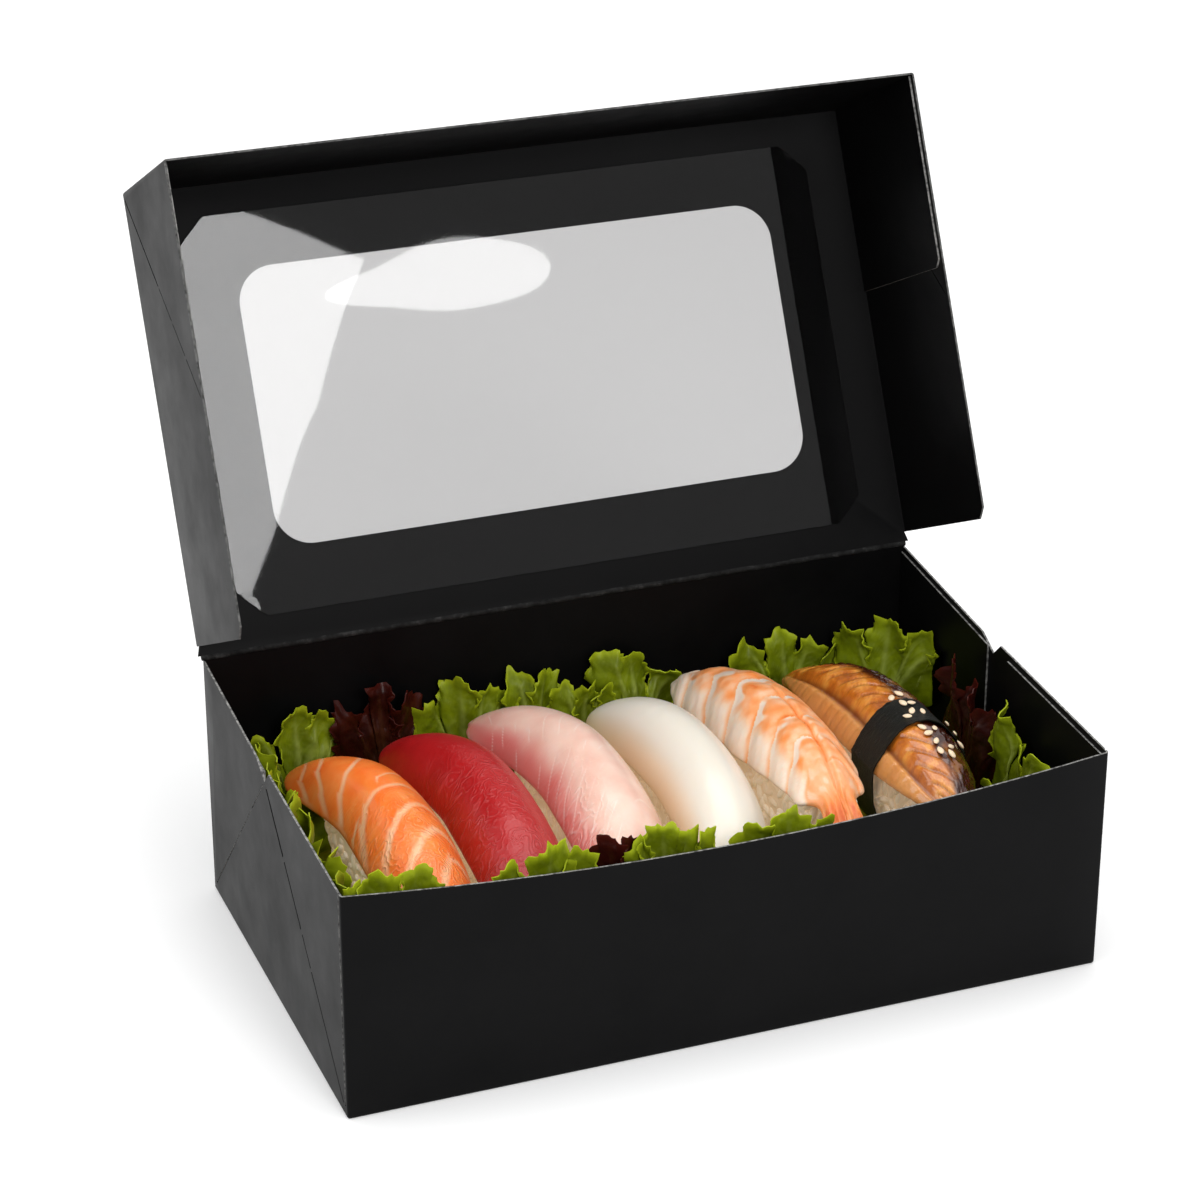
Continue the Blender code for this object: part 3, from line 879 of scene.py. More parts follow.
def line_place(points, across):
    """Where a line is along the slice at a place across it, its slope there, and whether it is there at all."""
    if not points[-1][0] <= across <= points[0][0]:
        return None
    for (x0, y0), (x1, y1) in zip(points, points[1:]):
        if x1 <= across <= x0:
            t = smooth(0.0, 1.0, (x0 - across) / (x0 - x1)) * 0.4 + 0.6 * (x0 - across) / (x0 - x1)
            return y0 + (y1 - y0) * t, (y1 - y0) / (x1 - x0)
    return None


def salmon_fat(across, along, up=0.0):
    most = 0.0
    bent = along + 0.5 * wander(across, along, 2, 9.0)
    for half, points in FAT_LINES:
        found = line_place(points, across)
        if found is None:
            continue
        place, slope = found
        if abs(bent - place) > 14.0:
            continue
        gap = abs(bent - place) / math.sqrt(1.0 + slope * slope)
        width = half * (0.72 + 0.25 * wander(across, along, 4, 6.0))
        ends = smooth(0.0, 1.6, points[0][0] - across) * smooth(0.0, 1.2, across - points[-1][0])
        most = max(most, (1.0 - smooth(width * 0.3, width * 2.1, gap)) * ends)
    return most * (0.85 + 0.3 * wander(across, along, 5, 5.0))


def wet_grain(node, link, lay, front, strength, density=14.0):
    """Fine curled ridges of cut wet flesh: contour lines of a slow noise, stronger where `front` is high."""
    slow = node("TexNoise", Scale=0.12, Detail=2.5, Roughness=0.55)
    link(lay, slow.inputs["Vector"])
    waves = math_step(node, link, "MULTIPLY", slow.outputs[0], 2.0 * math.pi * density)
    ridge = math_step(node, link, "SINE", waves)
    raised = math_step(node, link, "MULTIPLY_ADD", ridge, 0.5, 0.5)
    thin = math_step(node, link, "POWER", raised, 2.2)
    broken = node("TexNoise", Scale=0.5, Detail=2.0)
    link(lay, broken.inputs["Vector"])
    patch = node("MapRange", From_Min=0.40, From_Max=0.62, To_Min=0.25, To_Max=1.0)
    link(broken.outputs[0], patch.inputs[0])
    masked = math_step(node, link, "MULTIPLY", thin, patch.outputs[0])
    masked = math_step(node, link, "MULTIPLY", masked, front)
    return math_step(node, link, "MULTIPLY", masked, strength)


def ridges_with_painted_sheen(node, link, shader, lay, colour, painted_sheen, share, density=14.0, strength=0.55):
    """Paints a lighter colour on the curled ridges over a colour socket, a painted sheen, and raises them, with a
    fine grain between them.
    """
    ridges = wet_grain(node, link, lay, stored(node, "front"), 1.0, density)
    # Painted sheen: the ridges are mixed towards a lighter colour.
    sheened = blended(node, link, math_step(node, link, "MULTIPLY", ridges, share), colour, painted_sheen)
    link(sheened, shader.inputs["Base Color"])
    grain = noise_on(node, link, lay, Scale=0.9, Detail=4.0, Roughness=0.6)
    height = math_step(node, link, "MULTIPLY_ADD", grain, 0.35, ridges)
    relief(node, link, shader, height, strength, 0.0004)


def salmon_relief(u, v, up):
    across, along = on_slice("salmon", u, v)
    height = -0.07 * salmon_fat(across, along)
    return height + 0.35 * wander(across, along, 11, 14.0)


salmon = draped(SLICES["salmon"], salmon_relief)
paint(salmon, "fat", salmon_fat)
# front marks where the ridges and their painted sheen show: towards the front end and over the upper side.
paint(salmon, "front", lambda across, along, up: smooth(14.0, -22.0, along) * smooth(-0.9, 0.2, up))

flesh_salmon, link, node, shader = surface(
    "salmon_flesh",
    Roughness=0.30,
    IOR=1.42,
    Subsurface_Weight=0.22,
    Subsurface_Scale=0.0022,
    Coat_Weight=0.20,
    Coat_Roughness=0.24,
)
shader.inputs["Subsurface Radius"].default_value = (1.0, 0.32, 0.12)
lay = stored(node, "lay", "Vector")
cloud = noise_on(node, link, lay, Scale=0.16, Detail=3.0)
flesh = ramp(node, [(0.30, (0.93, 0.165, 0.020)), (0.55, (0.98, 0.230, 0.040)), (0.75, (0.98, 0.30, 0.075))])
link(cloud, flesh.inputs[0])
tone = blended(node, link, stored(node, "fat"), flesh.outputs[0], (0.94, 0.50, 0.27))
# The ridges are painted a lighter orange: painted sheen.
ridges_with_painted_sheen(node, link, shader, lay, tone, (0.98, 0.45, 0.22), 0.35)
place_topping(salmon, SLICES["salmon"], flesh_salmon)
print("salmon", len(salmon.data.polygons), "faces")

# %% [markdown]
# ### Tuna
# One plain deep red, with painted shade darkening its left edge where it turns down, and a fine grain whose
# ridges carry a painted pinkish sheen over its front half.

# %% Tuna
def tuna_relief(u, v, up):
    across, along = on_slice("tuna", u, v)
    return 0.30 * wander(across, along, 31, 15.0) + 0.10 * wander(across, along, 32, 5.0)


tuna = draped(SLICES["tuna"], tuna_relief)
# front marks where the ridges and their painted sheen show: the front half and the upper side.
paint(tuna, "front", lambda across, along, up: smooth(26.0, -10.0, along) * smooth(-0.9, 0.2, up))
flesh_tuna, link, node, shader = surface(
    "tuna_flesh",
    Roughness=0.38,
    IOR=1.42,
    Subsurface_Weight=0.10,
    Subsurface_Scale=0.0015,
    Coat_Weight=0.22,
    Coat_Roughness=0.24,
)
shader.inputs["Subsurface Radius"].default_value = (1.0, 0.12, 0.08)
lay = stored(node, "lay", "Vector")
split = node("SeparateXYZ")
link(lay, split.inputs[0])
cloud = noise_on(node, link, lay, Scale=0.13, Detail=3.0)
# Painted shade: the red darkens towards the left edge, where the slice turns down.
edge = node("MapRange", From_Min=-11.0, From_Max=8.0, To_Min=0.0, To_Max=0.75)
link(split.outputs[0], edge.inputs[0])
mixed = math_step(node, link, "MULTIPLY_ADD", cloud, 0.55, edge.outputs[0], clamp=True)
flesh = ramp(node, [(0.15, (0.30, 0.003, 0.002)), (0.55, (0.44, 0.010, 0.012)), (0.95, (0.47, 0.030, 0.030))])
link(mixed, flesh.inputs[0])
# The ridges are painted a lighter pink: painted sheen.
ridges_with_painted_sheen(node, link, shader, lay, flesh.outputs[0], (0.62, 0.10, 0.10), 0.30, 15.0)
place_topping(tuna, SLICES["tuna"], flesh_tuna)

# %% [markdown]
# ### Yellowtail
# Pale pink flesh with a rosy band of darker muscle down its left edge, and fine white threads that curve across
# it. The back left corner carries a small nick from the knife.

# %% Yellowtail
def yellow_threads(across, along, up=0.0):
    """Fine pale threads: they start down the left side and curve over towards the back right."""
    run = along - 0.9 * across + 4.0 * wander(across, along, 44, 12.0) + 0.05 * across * across
    comb = abs((run / 6.3) % 1.0 - 0.5) * 2.0
    broken = smooth(0.02, 0.40, wander(across, along, 46, 6.0) + 0.2 * smooth(5.0, -8.0, across))
    return smooth(0.88, 0.99, comb) * broken


def yellow_relief(u, v, up):
    across, along = on_slice("yellowtail", u, v)
    height = 0.32 * wander(across, along, 41, 14.0)
    height -= 0.07 * yellow_threads(across, along)
    nick = bump_at(u, 0.955, 0.035) * smooth(-0.5, -0.95, v)
    return height - 1.6 * nick


def yellow_pink(across, along, up):
    band = smooth(-6.4, -11.2, across + 1.4 * wander(across, along, 48, 7.0))
    back = 0.35 * smooth(20.0, 40.0, along) * smooth(2.0, -9.0, across)
    return min(1.0, max(band * (0.8 + 0.3 * wander(across, along, 49, 9.0)), back))


yellowtail = draped(SLICES["yellowtail"], yellow_relief)
paint(yellowtail, "threads", yellow_threads)
paint(yellowtail, "pink", yellow_pink)
# front marks where the ridges and their painted sheen show: the front and the left side.
paint(yellowtail, "front", lambda across, along, up: smooth(10.0, -30.0, along) * smooth(2.0, -8.0, across))
flesh_yellow, link, node, shader = surface(
    "yellowtail_flesh",
    Roughness=0.30,
    IOR=1.42,
    Subsurface_Weight=0.30,
    Subsurface_Scale=0.0022,
    Coat_Weight=0.30,
    Coat_Roughness=0.18,
)
shader.inputs["Subsurface Radius"].default_value = (1.0, 0.45, 0.32)
lay = stored(node, "lay", "Vector")
cloud = noise_on(node, link, lay, Scale=0.13, Detail=3.0)
flesh = ramp(node, [(0.3, (0.84, 0.51, 0.41)), (0.6, (0.90, 0.62, 0.51)), (0.8, (0.91, 0.68, 0.58))])
link(cloud, flesh.inputs[0])
rosy = blended(node, link, stored(node, "pink"), flesh.outputs[0], (0.72, 0.14, 0.13))
weak = math_step(node, link, "MULTIPLY", stored(node, "threads"), 0.55)
tone = blended(node, link, weak, rosy, (0.95, 0.80, 0.72))
# The ridges are painted a paler cream: painted sheen.
ridges_with_painted_sheen(node, link, shader, lay, tone, (0.98, 0.84, 0.76), 0.30, 12.0, 0.45)
place_topping(yellowtail, SLICES["yellowtail"], flesh_yellow)

# %% [markdown]
# ### Squid
# The smoothest of the six: creamy white and slightly see-through. Its edges are painted a darker, warm tone:
# painted shade where the left side turns down, and a painted glow of the rice below showing through the rims.

# %% Squid
def squid_relief(u, v, up):
    across, along = on_slice("squid", u, v)
    return 0.22 * wander(across, along, 51, 16.0) + 0.05 * wander(across, along, 53, 3.0)


squid = draped(SLICES["squid"], squid_relief)
# Painted shade and painted rice glow: the left edge and the right rim are marked for a darker, warm tone.
paint(squid, "painted_edge_shade_glow", lambda across, along, up: smooth(-6.5, -12.0, across) * 0.8 + 0.9 * smooth(10.9, 11.9, across))
flesh_squid, link, node, shader = surface(
    "squid_flesh",
    Roughness=0.30,
    IOR=1.42,
    Subsurface_Weight=0.35,
    Subsurface_Scale=0.0025,
    Coat_Weight=0.35,
    Coat_Roughness=0.2,
)
shader.inputs["Subsurface Radius"].default_value = (1.0, 0.8, 0.6)
# The edges are mixed towards a darker warm colour: painted shade and painted glow.
tone = blended(node, link, stored(node, "painted_edge_shade_glow"), (0.83, 0.77, 0.67), (0.72, 0.50, 0.27))
link(tone, shader.inputs["Base Color"])
grain = noise_on(node, link, stored(node, "lay", "Vector"), Scale=0.8, Detail=4.0, Roughness=0.6)
relief(node, link, shader, grain, 0.07, 0.0004)
place_topping(squid, SLICES["squid"], flesh_squid)

# %% [markdown]
# ### Prawn
# A cooked prawn, split along its belly and opened flat. Its body has six segments; each overlaps the next one
# towards the tail, with a rounded lobe on both sides of the cut. The meat is white at the back of each segment
# and turns orange towards its front edge, and the tail ends in narrow orange shells.

# %% Prawn
SEGMENTS = (41.0, 29.5, 17.0, 4.5, -7.0, -17.5, -27.0)


def prawn_lobe(across, along):
    """Moves a place so that the segments' rounded front edges come out straight."""
    prawn_item = SLICES["prawn"]
    half = prawn_item.half_w * prawn_item.outline(along / prawn_item.half_l)
    v = across / SLICES["prawn"].half_w
    side = min(1.0, abs(v - 0.12) / (0.88 if v > 0.12 else 1.12))
    lobe = 1.8 * math.sin(math.pi * min(1.0, side * 1.6)) - 9.5 * side**2.2
    return along - lobe * min(1.0, half / 8.0) + 1.1 * wander(across, along, 61, 5.0)


def prawn_segment(across, along):
    """Which segment a place is in, and how far it is from the segment's back (0) to its front edge (1)."""
    run = prawn_lobe(across, along)
    if run > SEGMENTS[0]:
        return -1, min(1.0, (49.5 - run) / (49.5 - SEGMENTS[0]))
    for index, (back, front) in enumerate(zip(SEGMENTS, SEGMENTS[1:])):
        if run > front:
            return index, (back - run) / (back - front)
    return len(SEGMENTS), min(1.0, (SEGMENTS[-1] - run) / 24.0)


def prawn_cut(across, along):
    """The cut down the middle, deeper towards the tail."""
    middle = 1.5 + 0.7 * wander(0.0, along, 66, 12.0)
    wide = 0.55 + 0.5 * smooth(4.0, -30.0, along)
    return (1.0 - smooth(0.0, wide * 2.0, abs(across - middle))) * smooth(16.0, -4.0, along)


def prawn_relief(u, v, up):
    across, along = on_slice("prawn", u, v)
    index, way = prawn_segment(across, along)
    height = 0.25 * wander(across, along, 63, 9.0)
    if index < len(SEGMENTS):
        height += 0.62 * smooth(0.0, 0.5, way) - 0.62 * smooth(0.66, 1.0, way)
    height -= 0.9 * prawn_cut(across, along)
    height += 0.12 * wander(across, along, 64, 2.2)
    if along < -34.0:
        height += 0.45 * math.sin((v + 0.1) * 9.0) * smooth(-34.0, -40.0, along)
    return height * smooth(-0.6, 0.2, up)


def prawn_orange(across, along, up):
    index, way = prawn_segment(across, along)
    v = across / SLICES["prawn"].half_w
    if index == len(SEGMENTS):
        return 0.55 + 0.40 * smooth(-33.0, -42.0, along) - 0.25 * smooth(0.1, 0.5, wander(across, along, 69, 3.0))
    if index < 0:
        return 0.05 + 0.30 * smooth(0.75, 1.0, way)
    rim = smooth(-0.50, -0.80, v) * 0.92 + smooth(0.74, 1.0, v) * 0.5
    tuft = 0.35 * (1.0 - min(1.0, abs(v - 0.12) * 1.6))
    patch = way + 0.62 * wander(across, along, 67, 4.6)
    band = smooth(0.10, 0.30, patch + tuft * 0.3) * (1.0 - rim)
    spots = 0.85 + 0.45 * wander(across, along, 68, 2.4) + 0.30 * wander(across, along, 70, 6.0)
    edge = smooth(0.80, 0.97, way) * (0.62 + 0.5 * wander(across, along, 71, 4.0))
    return max(0.05, min(1.0, max(band * spots * 0.68, edge * (1.0 - 0.35 * rim), 0.9 * prawn_cut(across, along))))


prawn = draped(SLICES["prawn"], prawn_relief, rings=220, segments=200)
paint(prawn, "orange", prawn_orange)
flesh_prawn, link, node, shader = surface(
    "prawn_flesh",
    Roughness=0.34,
    IOR=1.42,
    Subsurface_Weight=0.25,
    Subsurface_Scale=0.0018,
    Coat_Weight=0.25,
    Coat_Roughness=0.22,
)
shader.inputs["Subsurface Radius"].default_value = (1.0, 0.5, 0.3)
veins = noise_on(node, link, stored(node, "lay", "Vector"), Scale=0.55, Detail=5.0, Roughness=0.65)
spread = math_step(node, link, "MULTIPLY_ADD", veins, 0.30, -0.15)
mixed = math_step(node, link, "ADD", stored(node, "orange"), spread, clamp=True)
PRAWN_TONES = (
    (0.0, (0.87, 0.73, 0.61)),
    (0.25, (0.90, 0.58, 0.38)),
    (0.60, (0.93, 0.37, 0.14)),
    (0.85, (0.90, 0.27, 0.06)),
    (1.0, (0.70, 0.12, 0.02)),
)
coloured(node, link, shader, mixed, PRAWN_TONES)
relief(node, link, shader, veins, 0.3, 0.0005)
place_topping(prawn, SLICES["prawn"], flesh_prawn)

# %% [markdown]
# ### Grilled eel
# The fillet is golden brown and glazed. A narrow pale lobe runs down its left side beyond the groove, the middle
# is folded into flakes, with painted shade darkening the creases and the groove, and the skin side on the right is
# dark, wrinkled and sticky with sauce.

# %% Eel
def eel_folds(across, along):
    """Creases between the flakes: they fan out from the groove towards the front right."""
    run = along + 0.9 * across + 2.5 * wander(across, along, 72, 8.0)
    comb = abs((run / 5.6) % 1.0 - 0.5) * 2.0
    return smooth(0.60, 1.0, comb)


def eel_dark(across, along, up=0.0):
    v = across / SLICES["eel"].half_w
    limit = 0.02 + 0.10 * smooth(-26.0, -40.0, along) - 0.10 * smooth(10.0, 30.0, along)
    dark = smooth(limit - 0.12, limit + 0.14, v + 0.16 * wander(across, along, 74, 4.5))
    lighter = 0.35 * smooth(0.0, 0.5, wander(across, along, 75, 5.0)) * smooth(0.95, 0.3, v)
    return dark * (1.0 - lighter)


def eel_relief(u, v, up):
    across, along = on_slice("eel", u, v)
    dark = eel_dark(across, along)
    height = 0.35 * wander(across, along, 71, 10.0)
    height -= 0.55 * eel_folds(across, along) * (1.0 - dark) * smooth(-0.62, -0.45, v)
    height -= 0.22 * eel_folds(across * 0.4, along * 1.4) * smooth(-0.68, -0.80, v)
    wrinkle = wander(across, along, 76, 2.4) + 0.6 * wander(across, along, 77, 1.2)
    height += 0.40 * dark * wrinkle
    return height * smooth(-0.7, 0.1, up)


def eel_pale(across, along, up):
    v = across / SLICES["eel"].half_w
    return smooth(-0.64, -0.76, v) * (0.85 + 0.3 * wander(across, along, 78, 6.0))


# Painted shade: how much the groove and the creases between the flakes are darkened.
def eel_crease_painted_shade(across, along, up):
    v = across / SLICES["eel"].half_w
    groove = math.exp(-(((v + 0.66) / 0.05) ** 2)) * (1.0 - abs(along / 45.0) ** 4)
    return min(1.0, 0.85 * groove + 0.60 * smooth(0.35, 1.0, eel_folds(across, along)) * smooth(-0.62, -0.4, v))


eel = draped(SLICES["eel"], eel_relief)
paint(eel, "dark", eel_dark)
paint(eel, "pale", eel_pale)
paint(eel, "crease", eel_crease_painted_shade)
flesh_eel, link, node, shader = surface(
    "eel_flesh",
    IOR=1.45,
    Subsurface_Weight=0.08,
    Subsurface_Scale=0.0012,
    Coat_Weight=0.9,
    Coat_Roughness=0.07,
)
shader.inputs["Subsurface Radius"].default_value = (1.0, 0.4, 0.15)
lay = stored(node, "lay", "Vector")
dark = stored(node, "dark")
cloud = noise_on(node, link, lay, Scale=0.28, Detail=5.0, Roughness=0.6)
gold = ramp(node, [(0.3, (0.34, 0.080, 0.006)), (0.48, (0.58, 0.165, 0.013)), (0.64, (0.80, 0.33, 0.05))])
link(cloud, gold.inputs[0])
lobe = blended(node, link, stored(node, "pale"), gold.outputs[0], (0.68, 0.30, 0.085))
# The creases and the groove are mixed towards a dark brown: painted shade.
folded = blended(node, link, stored(node, "crease"), lobe, (0.13, 0.025, 0.004))
glaze = blended(node, link, dark, folded, (0.045, 0.007, 0.002))
link(glaze, shader.inputs["Base Color"])
rough = node("MapRange", From_Min=0.0, From_Max=1.0, To_Min=0.34, To_Max=0.22)
link(dark, rough.inputs[0])
link(rough.outputs[0], shader.inputs["Roughness"])
fine = noise_on(node, link, lay, Scale=1.1, Detail=5.0, Roughness=0.65)
relief(node, link, shader, fine, 0.35, 0.0005)
place_topping(eel, SLICES["eel"], flesh_eel)
print("toppings", sum(len(o.data.polygons) for o in (salmon, tuna, yellowtail, squid, prawn, eel)), "faces")

# %% [markdown]
# ## Rice
# The block under each slice is pressed rice: a rounded core, and single grains packed over its surface in every
# direction. A grain is a small eight-sided ball drawn out to its length; a few hundred copies are joined for each
# nigiri. No grain is set where the slice would hide it.

# %% Rice finish with its painted glow, and grain
# The warm emission is painted light: a glow that brightens the rice where it lies in shade between the slices.
rice_grain, link, node, shader = surface(
    "rice_grain",
    Base_Color=(0.86, 0.80, 0.70, 1.0),
    Roughness=0.33,
    IOR=1.42,
    Subsurface_Weight=0.15,
    Subsurface_Scale=0.001,
    Emission_Color=(1.0, 0.72, 0.46, 1.0),
    Emission_Strength=0.13,
)
shader.inputs["Subsurface Radius"].default_value = (1.0, 0.75, 0.5)
rice_tones = [(0.0, (0.83, 0.72, 0.56)), (0.5, (0.89, 0.81, 0.68)), (1.0, (0.93, 0.88, 0.79))]
coloured(node, link, shader, stored(node, "tint"), rice_tones)


def rice_point(item, foot, a, b):
    """A place on the pressed block: a along its turn, b up and down, both angles; with its outward direction."""
    half_w, half_l = item.rice
    power = 2.0 / 2.7

    def rounded(value):
        return math.copysign(abs(value) ** power, value)

    ring = rounded(math.cos(b))
    across = half_w * ring * rounded(math.cos(a))
    along = half_l * ring * rounded(math.sin(a))
    height = 15.5 * rounded(math.sin(b))
    out = Vector(
        (
            math.copysign(abs(across / half_w) ** 1.7, across) / half_w,
            math.copysign(abs(along / half_l) ** 1.7, along) / half_l,
            math.copysign(abs(height / 15.5) ** 1.7, height) / 15.5,
        )
    ).normalized()
    return Vector((across, along, foot + 15.5 + height)), out


def pressed_core(item, foot):
    calm()
    bpy.ops.mesh.primitive_uv_sphere_add(segments=56, ring_count=36, radius=1.0)
    obj = named("rice_core")
    for vert in obj.data.vertices:
        x, y, z = vert.co
        b = math.asin(max(-1.0, min(1.0, z)))
        place, out = rice_point(item, foot, math.atan2(y, x), b)
        place -= out * 0.55
        u = place.y
        place.z = min(place.z, item.under(place.x, place.y) - 1.3)
        place.z = max(place.z, foot + 0.2)
        vert.co = Vector((place.x + item.x, u + item.y, place.z)) * MM
    return obj


def grain_seed():
    calm()
    bpy.ops.mesh.primitive_uv_sphere_add(segments=8, ring_count=6, radius=1.0)
    obj = named("grain")
    for vert in obj.data.vertices:
        x, y, z = vert.co
        vert.co = Vector((x * 1.12, y * 0.95, z * 2.45)) * MM
    return obj


def grains(item, foot, rng):
    """Grains over the block, each lying along its surface; the seed is moved into place copy by copy."""
    seed = grain_seed()
    base = [vert.co.copy() for vert in seed.data.vertices]
    half_w, half_l = item.rice
    kept = []
    cells = {}
    for _ in range(7000):
        z = rng.uniform(-1.0, 0.97)
        a = rng.uniform(0.0, 2.0 * math.pi)
        place, out = rice_point(item, foot, a, math.asin(z))
        if place.z < foot + 1.4:
            continue
        roof = item.under(place.x, place.y)
        if place.z > roof - 0.9:
            continue
        key = tuple(int(c // 2.1) for c in place)
        near = [
            other
            for dx in (-1, 0, 1)
            for dy in (-1, 0, 1)
            for dz in (-1, 0, 1)
            for other in cells.get((key[0] + dx, key[1] + dy, key[2] + dz), ())
        ]
        if any((place - other).length_squared < 2.1**2 for other in near):
            continue
        cells.setdefault(key, []).append(place)
        kept.append((place, out))
    copies = []
    for place, out in kept:
        side = out.orthogonal().normalized()
        turn = Matrix.Rotation(rng.uniform(0.0, 2.0 * math.pi), 3, out)
        lengthwise = (turn @ side + out * rng.uniform(-0.35, 0.35)).normalized()
        across = out.cross(lengthwise).normalized()
        up = lengthwise.cross(across)
        frame_of = Matrix((across, up, lengthwise)).transposed()
        size = rng.uniform(0.86, 1.1)
        sunk = place - out * rng.uniform(0.55, 1.05)
        shift = (Vector((item.x, item.y, 0.0)) + sunk) * MM
        copies.append(([frame_of @ (co * size) + shift for co in base], rng.random()))
    faces = [tuple(p.vertices) for p in seed.data.polygons]
    count = len(base)
    mesh = bpy.data.meshes.new("grains")
    mesh.from_pydata(
        [co for points, _ in copies for co in points],
        [],
        [tuple(i + count * n for i in face) for n in range(len(copies)) for face in faces],
    )
    obj = bpy.data.objects.new("grains", mesh)
    bpy.context.collection.objects.link(obj)
    tint = mesh.attributes.new("tint", "FLOAT", "POINT")
    for n, (_, tint_value) in enumerate(copies):
        for k in range(count):
            tint.data[n * count + k].value = tint_value
    bpy.data.objects.remove(seed)
    return obj, len(copies)


# %% Rice under every slice
rng = random.Random(12)
for item in SLICES.values():
    foot = EEL_FOOT if item.name == "eel" else RICE_FOOT
    core = pressed_core(item, foot)
    spread, amount = grains(item, foot, rng)
    core.data.attributes.new("tint", "FLOAT", "POINT")
    rice = joined("rice_" + item.name, [core, spread])
    dress(rice, rice_grain)
    shaded(rice, 80.0)
    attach(rice, "box")
    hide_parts("rice_" + item.name)
    print(rice.name, amount, "grains,", len(rice.data.polygons), "faces")

# %% [markdown]
# ## Nori band
# A strip of pressed seaweed ties the eel to its rice. It goes over the fillet, down both sides and under the
# rice. The strip is a grid whose rows follow that loop; the seaweed is pressed fibre, so it has a streaky sheen
# along the strip, painted into its colour as lighter streaks, partly the fibre's own tone and partly painted
# sheen, and a slightly ragged edge.

# %% Nori
nori_black, link, node, shader = surface(
    "nori", Base_Color=(0.004, 0.005, 0.003, 1.0), Roughness=0.36, Specular_IOR_Level=0.3
)
stretch = node("Mapping")
stretch.inputs["Scale"].default_value = (0.16, 1.1, 1.0)
link(stored(node, "strip", "Vector"), stretch.inputs["Vector"])
streak = noise_on(node, link, stretch.outputs[0], Scale=1.6, Detail=6.0, Roughness=0.7)
# The lightest stop gives the streaks of painted sheen; the darker stops are the seaweed's own tone.
nori_tones_and_painted_sheen = [(0.42, (0.0010, 0.0012, 0.0006)), (0.56, (0.004, 0.005, 0.002)), (0.70, (0.036, 0.036, 0.016))]
coloured(node, link, shader, streak, nori_tones_and_painted_sheen)
relief(node, link, shader, streak, 0.9, 0.0008)

BAND_AT = -10.5
BAND_HALF = 6.4


def band_loop(item, foot, count):
    """The loop in the (across, up) plane round the fillet and the rice block, as points from a full turn."""
    u0 = BAND_AT / item.half_l
    points = []
    for step in range(count):
        angle = 2.0 * math.pi * step / count
        c, s = math.cos(angle), math.sin(angle)
        half_w = item.half_w * item.outline(u0) + 0.35
        if s > 0.0:
            v = max(-1.0, min(1.0, c * 1.02))
            rise = Slice.drop(item, u0, v)
            shoulder = abs(s) ** 0.34
            top = item.top - rise + 0.75
            low = item.top - Slice.drop(item, u0, 1.0) - 3.2
            points.append((half_w * v + item.centre(u0), low + (top - low) * shoulder))
        else:
            power = 2.0 / 3.2
            across = (item.rice[0] + 0.95) * math.copysign(abs(c) ** power, c)
            low = item.top - Slice.drop(item, u0, 1.0) - 3.2
            height = low - (low - foot + 0.55) * abs(s) ** power
            blend_in = smooth(0.0, 0.45, abs(s))
            wide = half_w * math.copysign(abs(c) ** power, c) + item.centre(u0)
            points.append((wide * (1.0 - blend_in) + across * blend_in, height))
    return points


eel_item = SLICES["eel"]
COUNT = 180
ROWS = 26
loop = band_loop(eel_item, EEL_FOOT, COUNT)
calm()
bpy.ops.mesh.primitive_cylinder_add(vertices=COUNT, radius=1.0, depth=2.0, end_fill_type="NOTHING")
nori = named("nori_band")
pick(nori, "EDGE", lambda e: abs((edge_ends(nori, e)[0] - edge_ends(nori, e)[1]).z) > 1.0)
bpy.ops.mesh.subdivide(number_cuts=ROWS)
leave_edit()
strip = nori.data.attributes.new("strip", "FLOAT_VECTOR", "POINT")
girth = [0.0]
for (x0, z0), (x1, z1) in zip(loop, loop[1:]):
    girth.append(girth[-1] + math.hypot(x1 - x0, z1 - z0))
for vert, strip_item in zip(nori.data.vertices, strip.data):
    x, y, z = vert.co
    turn = (math.atan2(y, x) / (2.0 * math.pi)) % 1.0
    index = int(round(turn * COUNT)) % COUNT
    across, up = loop[index]
    ragged = 0.35 * noise.noise(Vector((index * 0.35, z * 3.0, 1.0))) * smooth(0.8, 1.0, abs(z))
    along = BAND_HALF * z + ragged
    side = Vector((across - eel_item.centre(0.0), 0.0, up - 42.0)).normalized()
    wave = 0.16 * noise.noise(Vector((index * 0.09, along * 0.22, 5.0)))
    lift = 0.35 * smooth(0.86, 1.0, abs(z)) * noise.noise(Vector((index * 0.16, z, 8.0)))
    strip_item.vector = (girth[index], along, 0.0)
    vert.co = (
        Vector((eel_item.x + across, eel_item.y + BAND_AT + along, up)) + side * (wave + max(0.0, lift))
    ) * MM
face_outward(nori)
apply_modifier(nori, "SOLIDIFY", thickness=0.35 * MM, offset=-1.0)
dress(nori, nori_black)
shaded(nori, 50.0)
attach(nori, "box")
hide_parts("nori_band")

# %% [markdown]
# ## Sesame
# Toasted seeds are strewn over the band and the glazed side. A seed is a flat drop, pointed at one end: a small
# ball, tapered along its length.

# %% Sesame seeds
sesame_cream, link, node, shader = surface(
    "sesame", Base_Color=(0.86, 0.68, 0.47, 1.0), Roughness=0.35, Subsurface_Weight=0.1, Subsurface_Scale=0.001
)


def top_point(item, across, along):
    """The upper surface over a place, in millimetres, and the way it faces."""

    def height(a, b):
        u = b / item.half_l
        v = (a - item.centre(u)) / (item.half_w * item.outline(u))
        return item.top - Slice.drop(item, u, max(-1.0, min(1.0, v)))

    z = height(across, along)
    slope_x = (height(across + 0.5, along) - height(across - 0.5, along)) / 1.0
    slope_y = (height(across, along + 0.5) - height(across, along - 0.5)) / 1.0
    return Vector((item.x + across, item.y + along, z)), Vector((-slope_x, -slope_y, 1.0)).normalized()


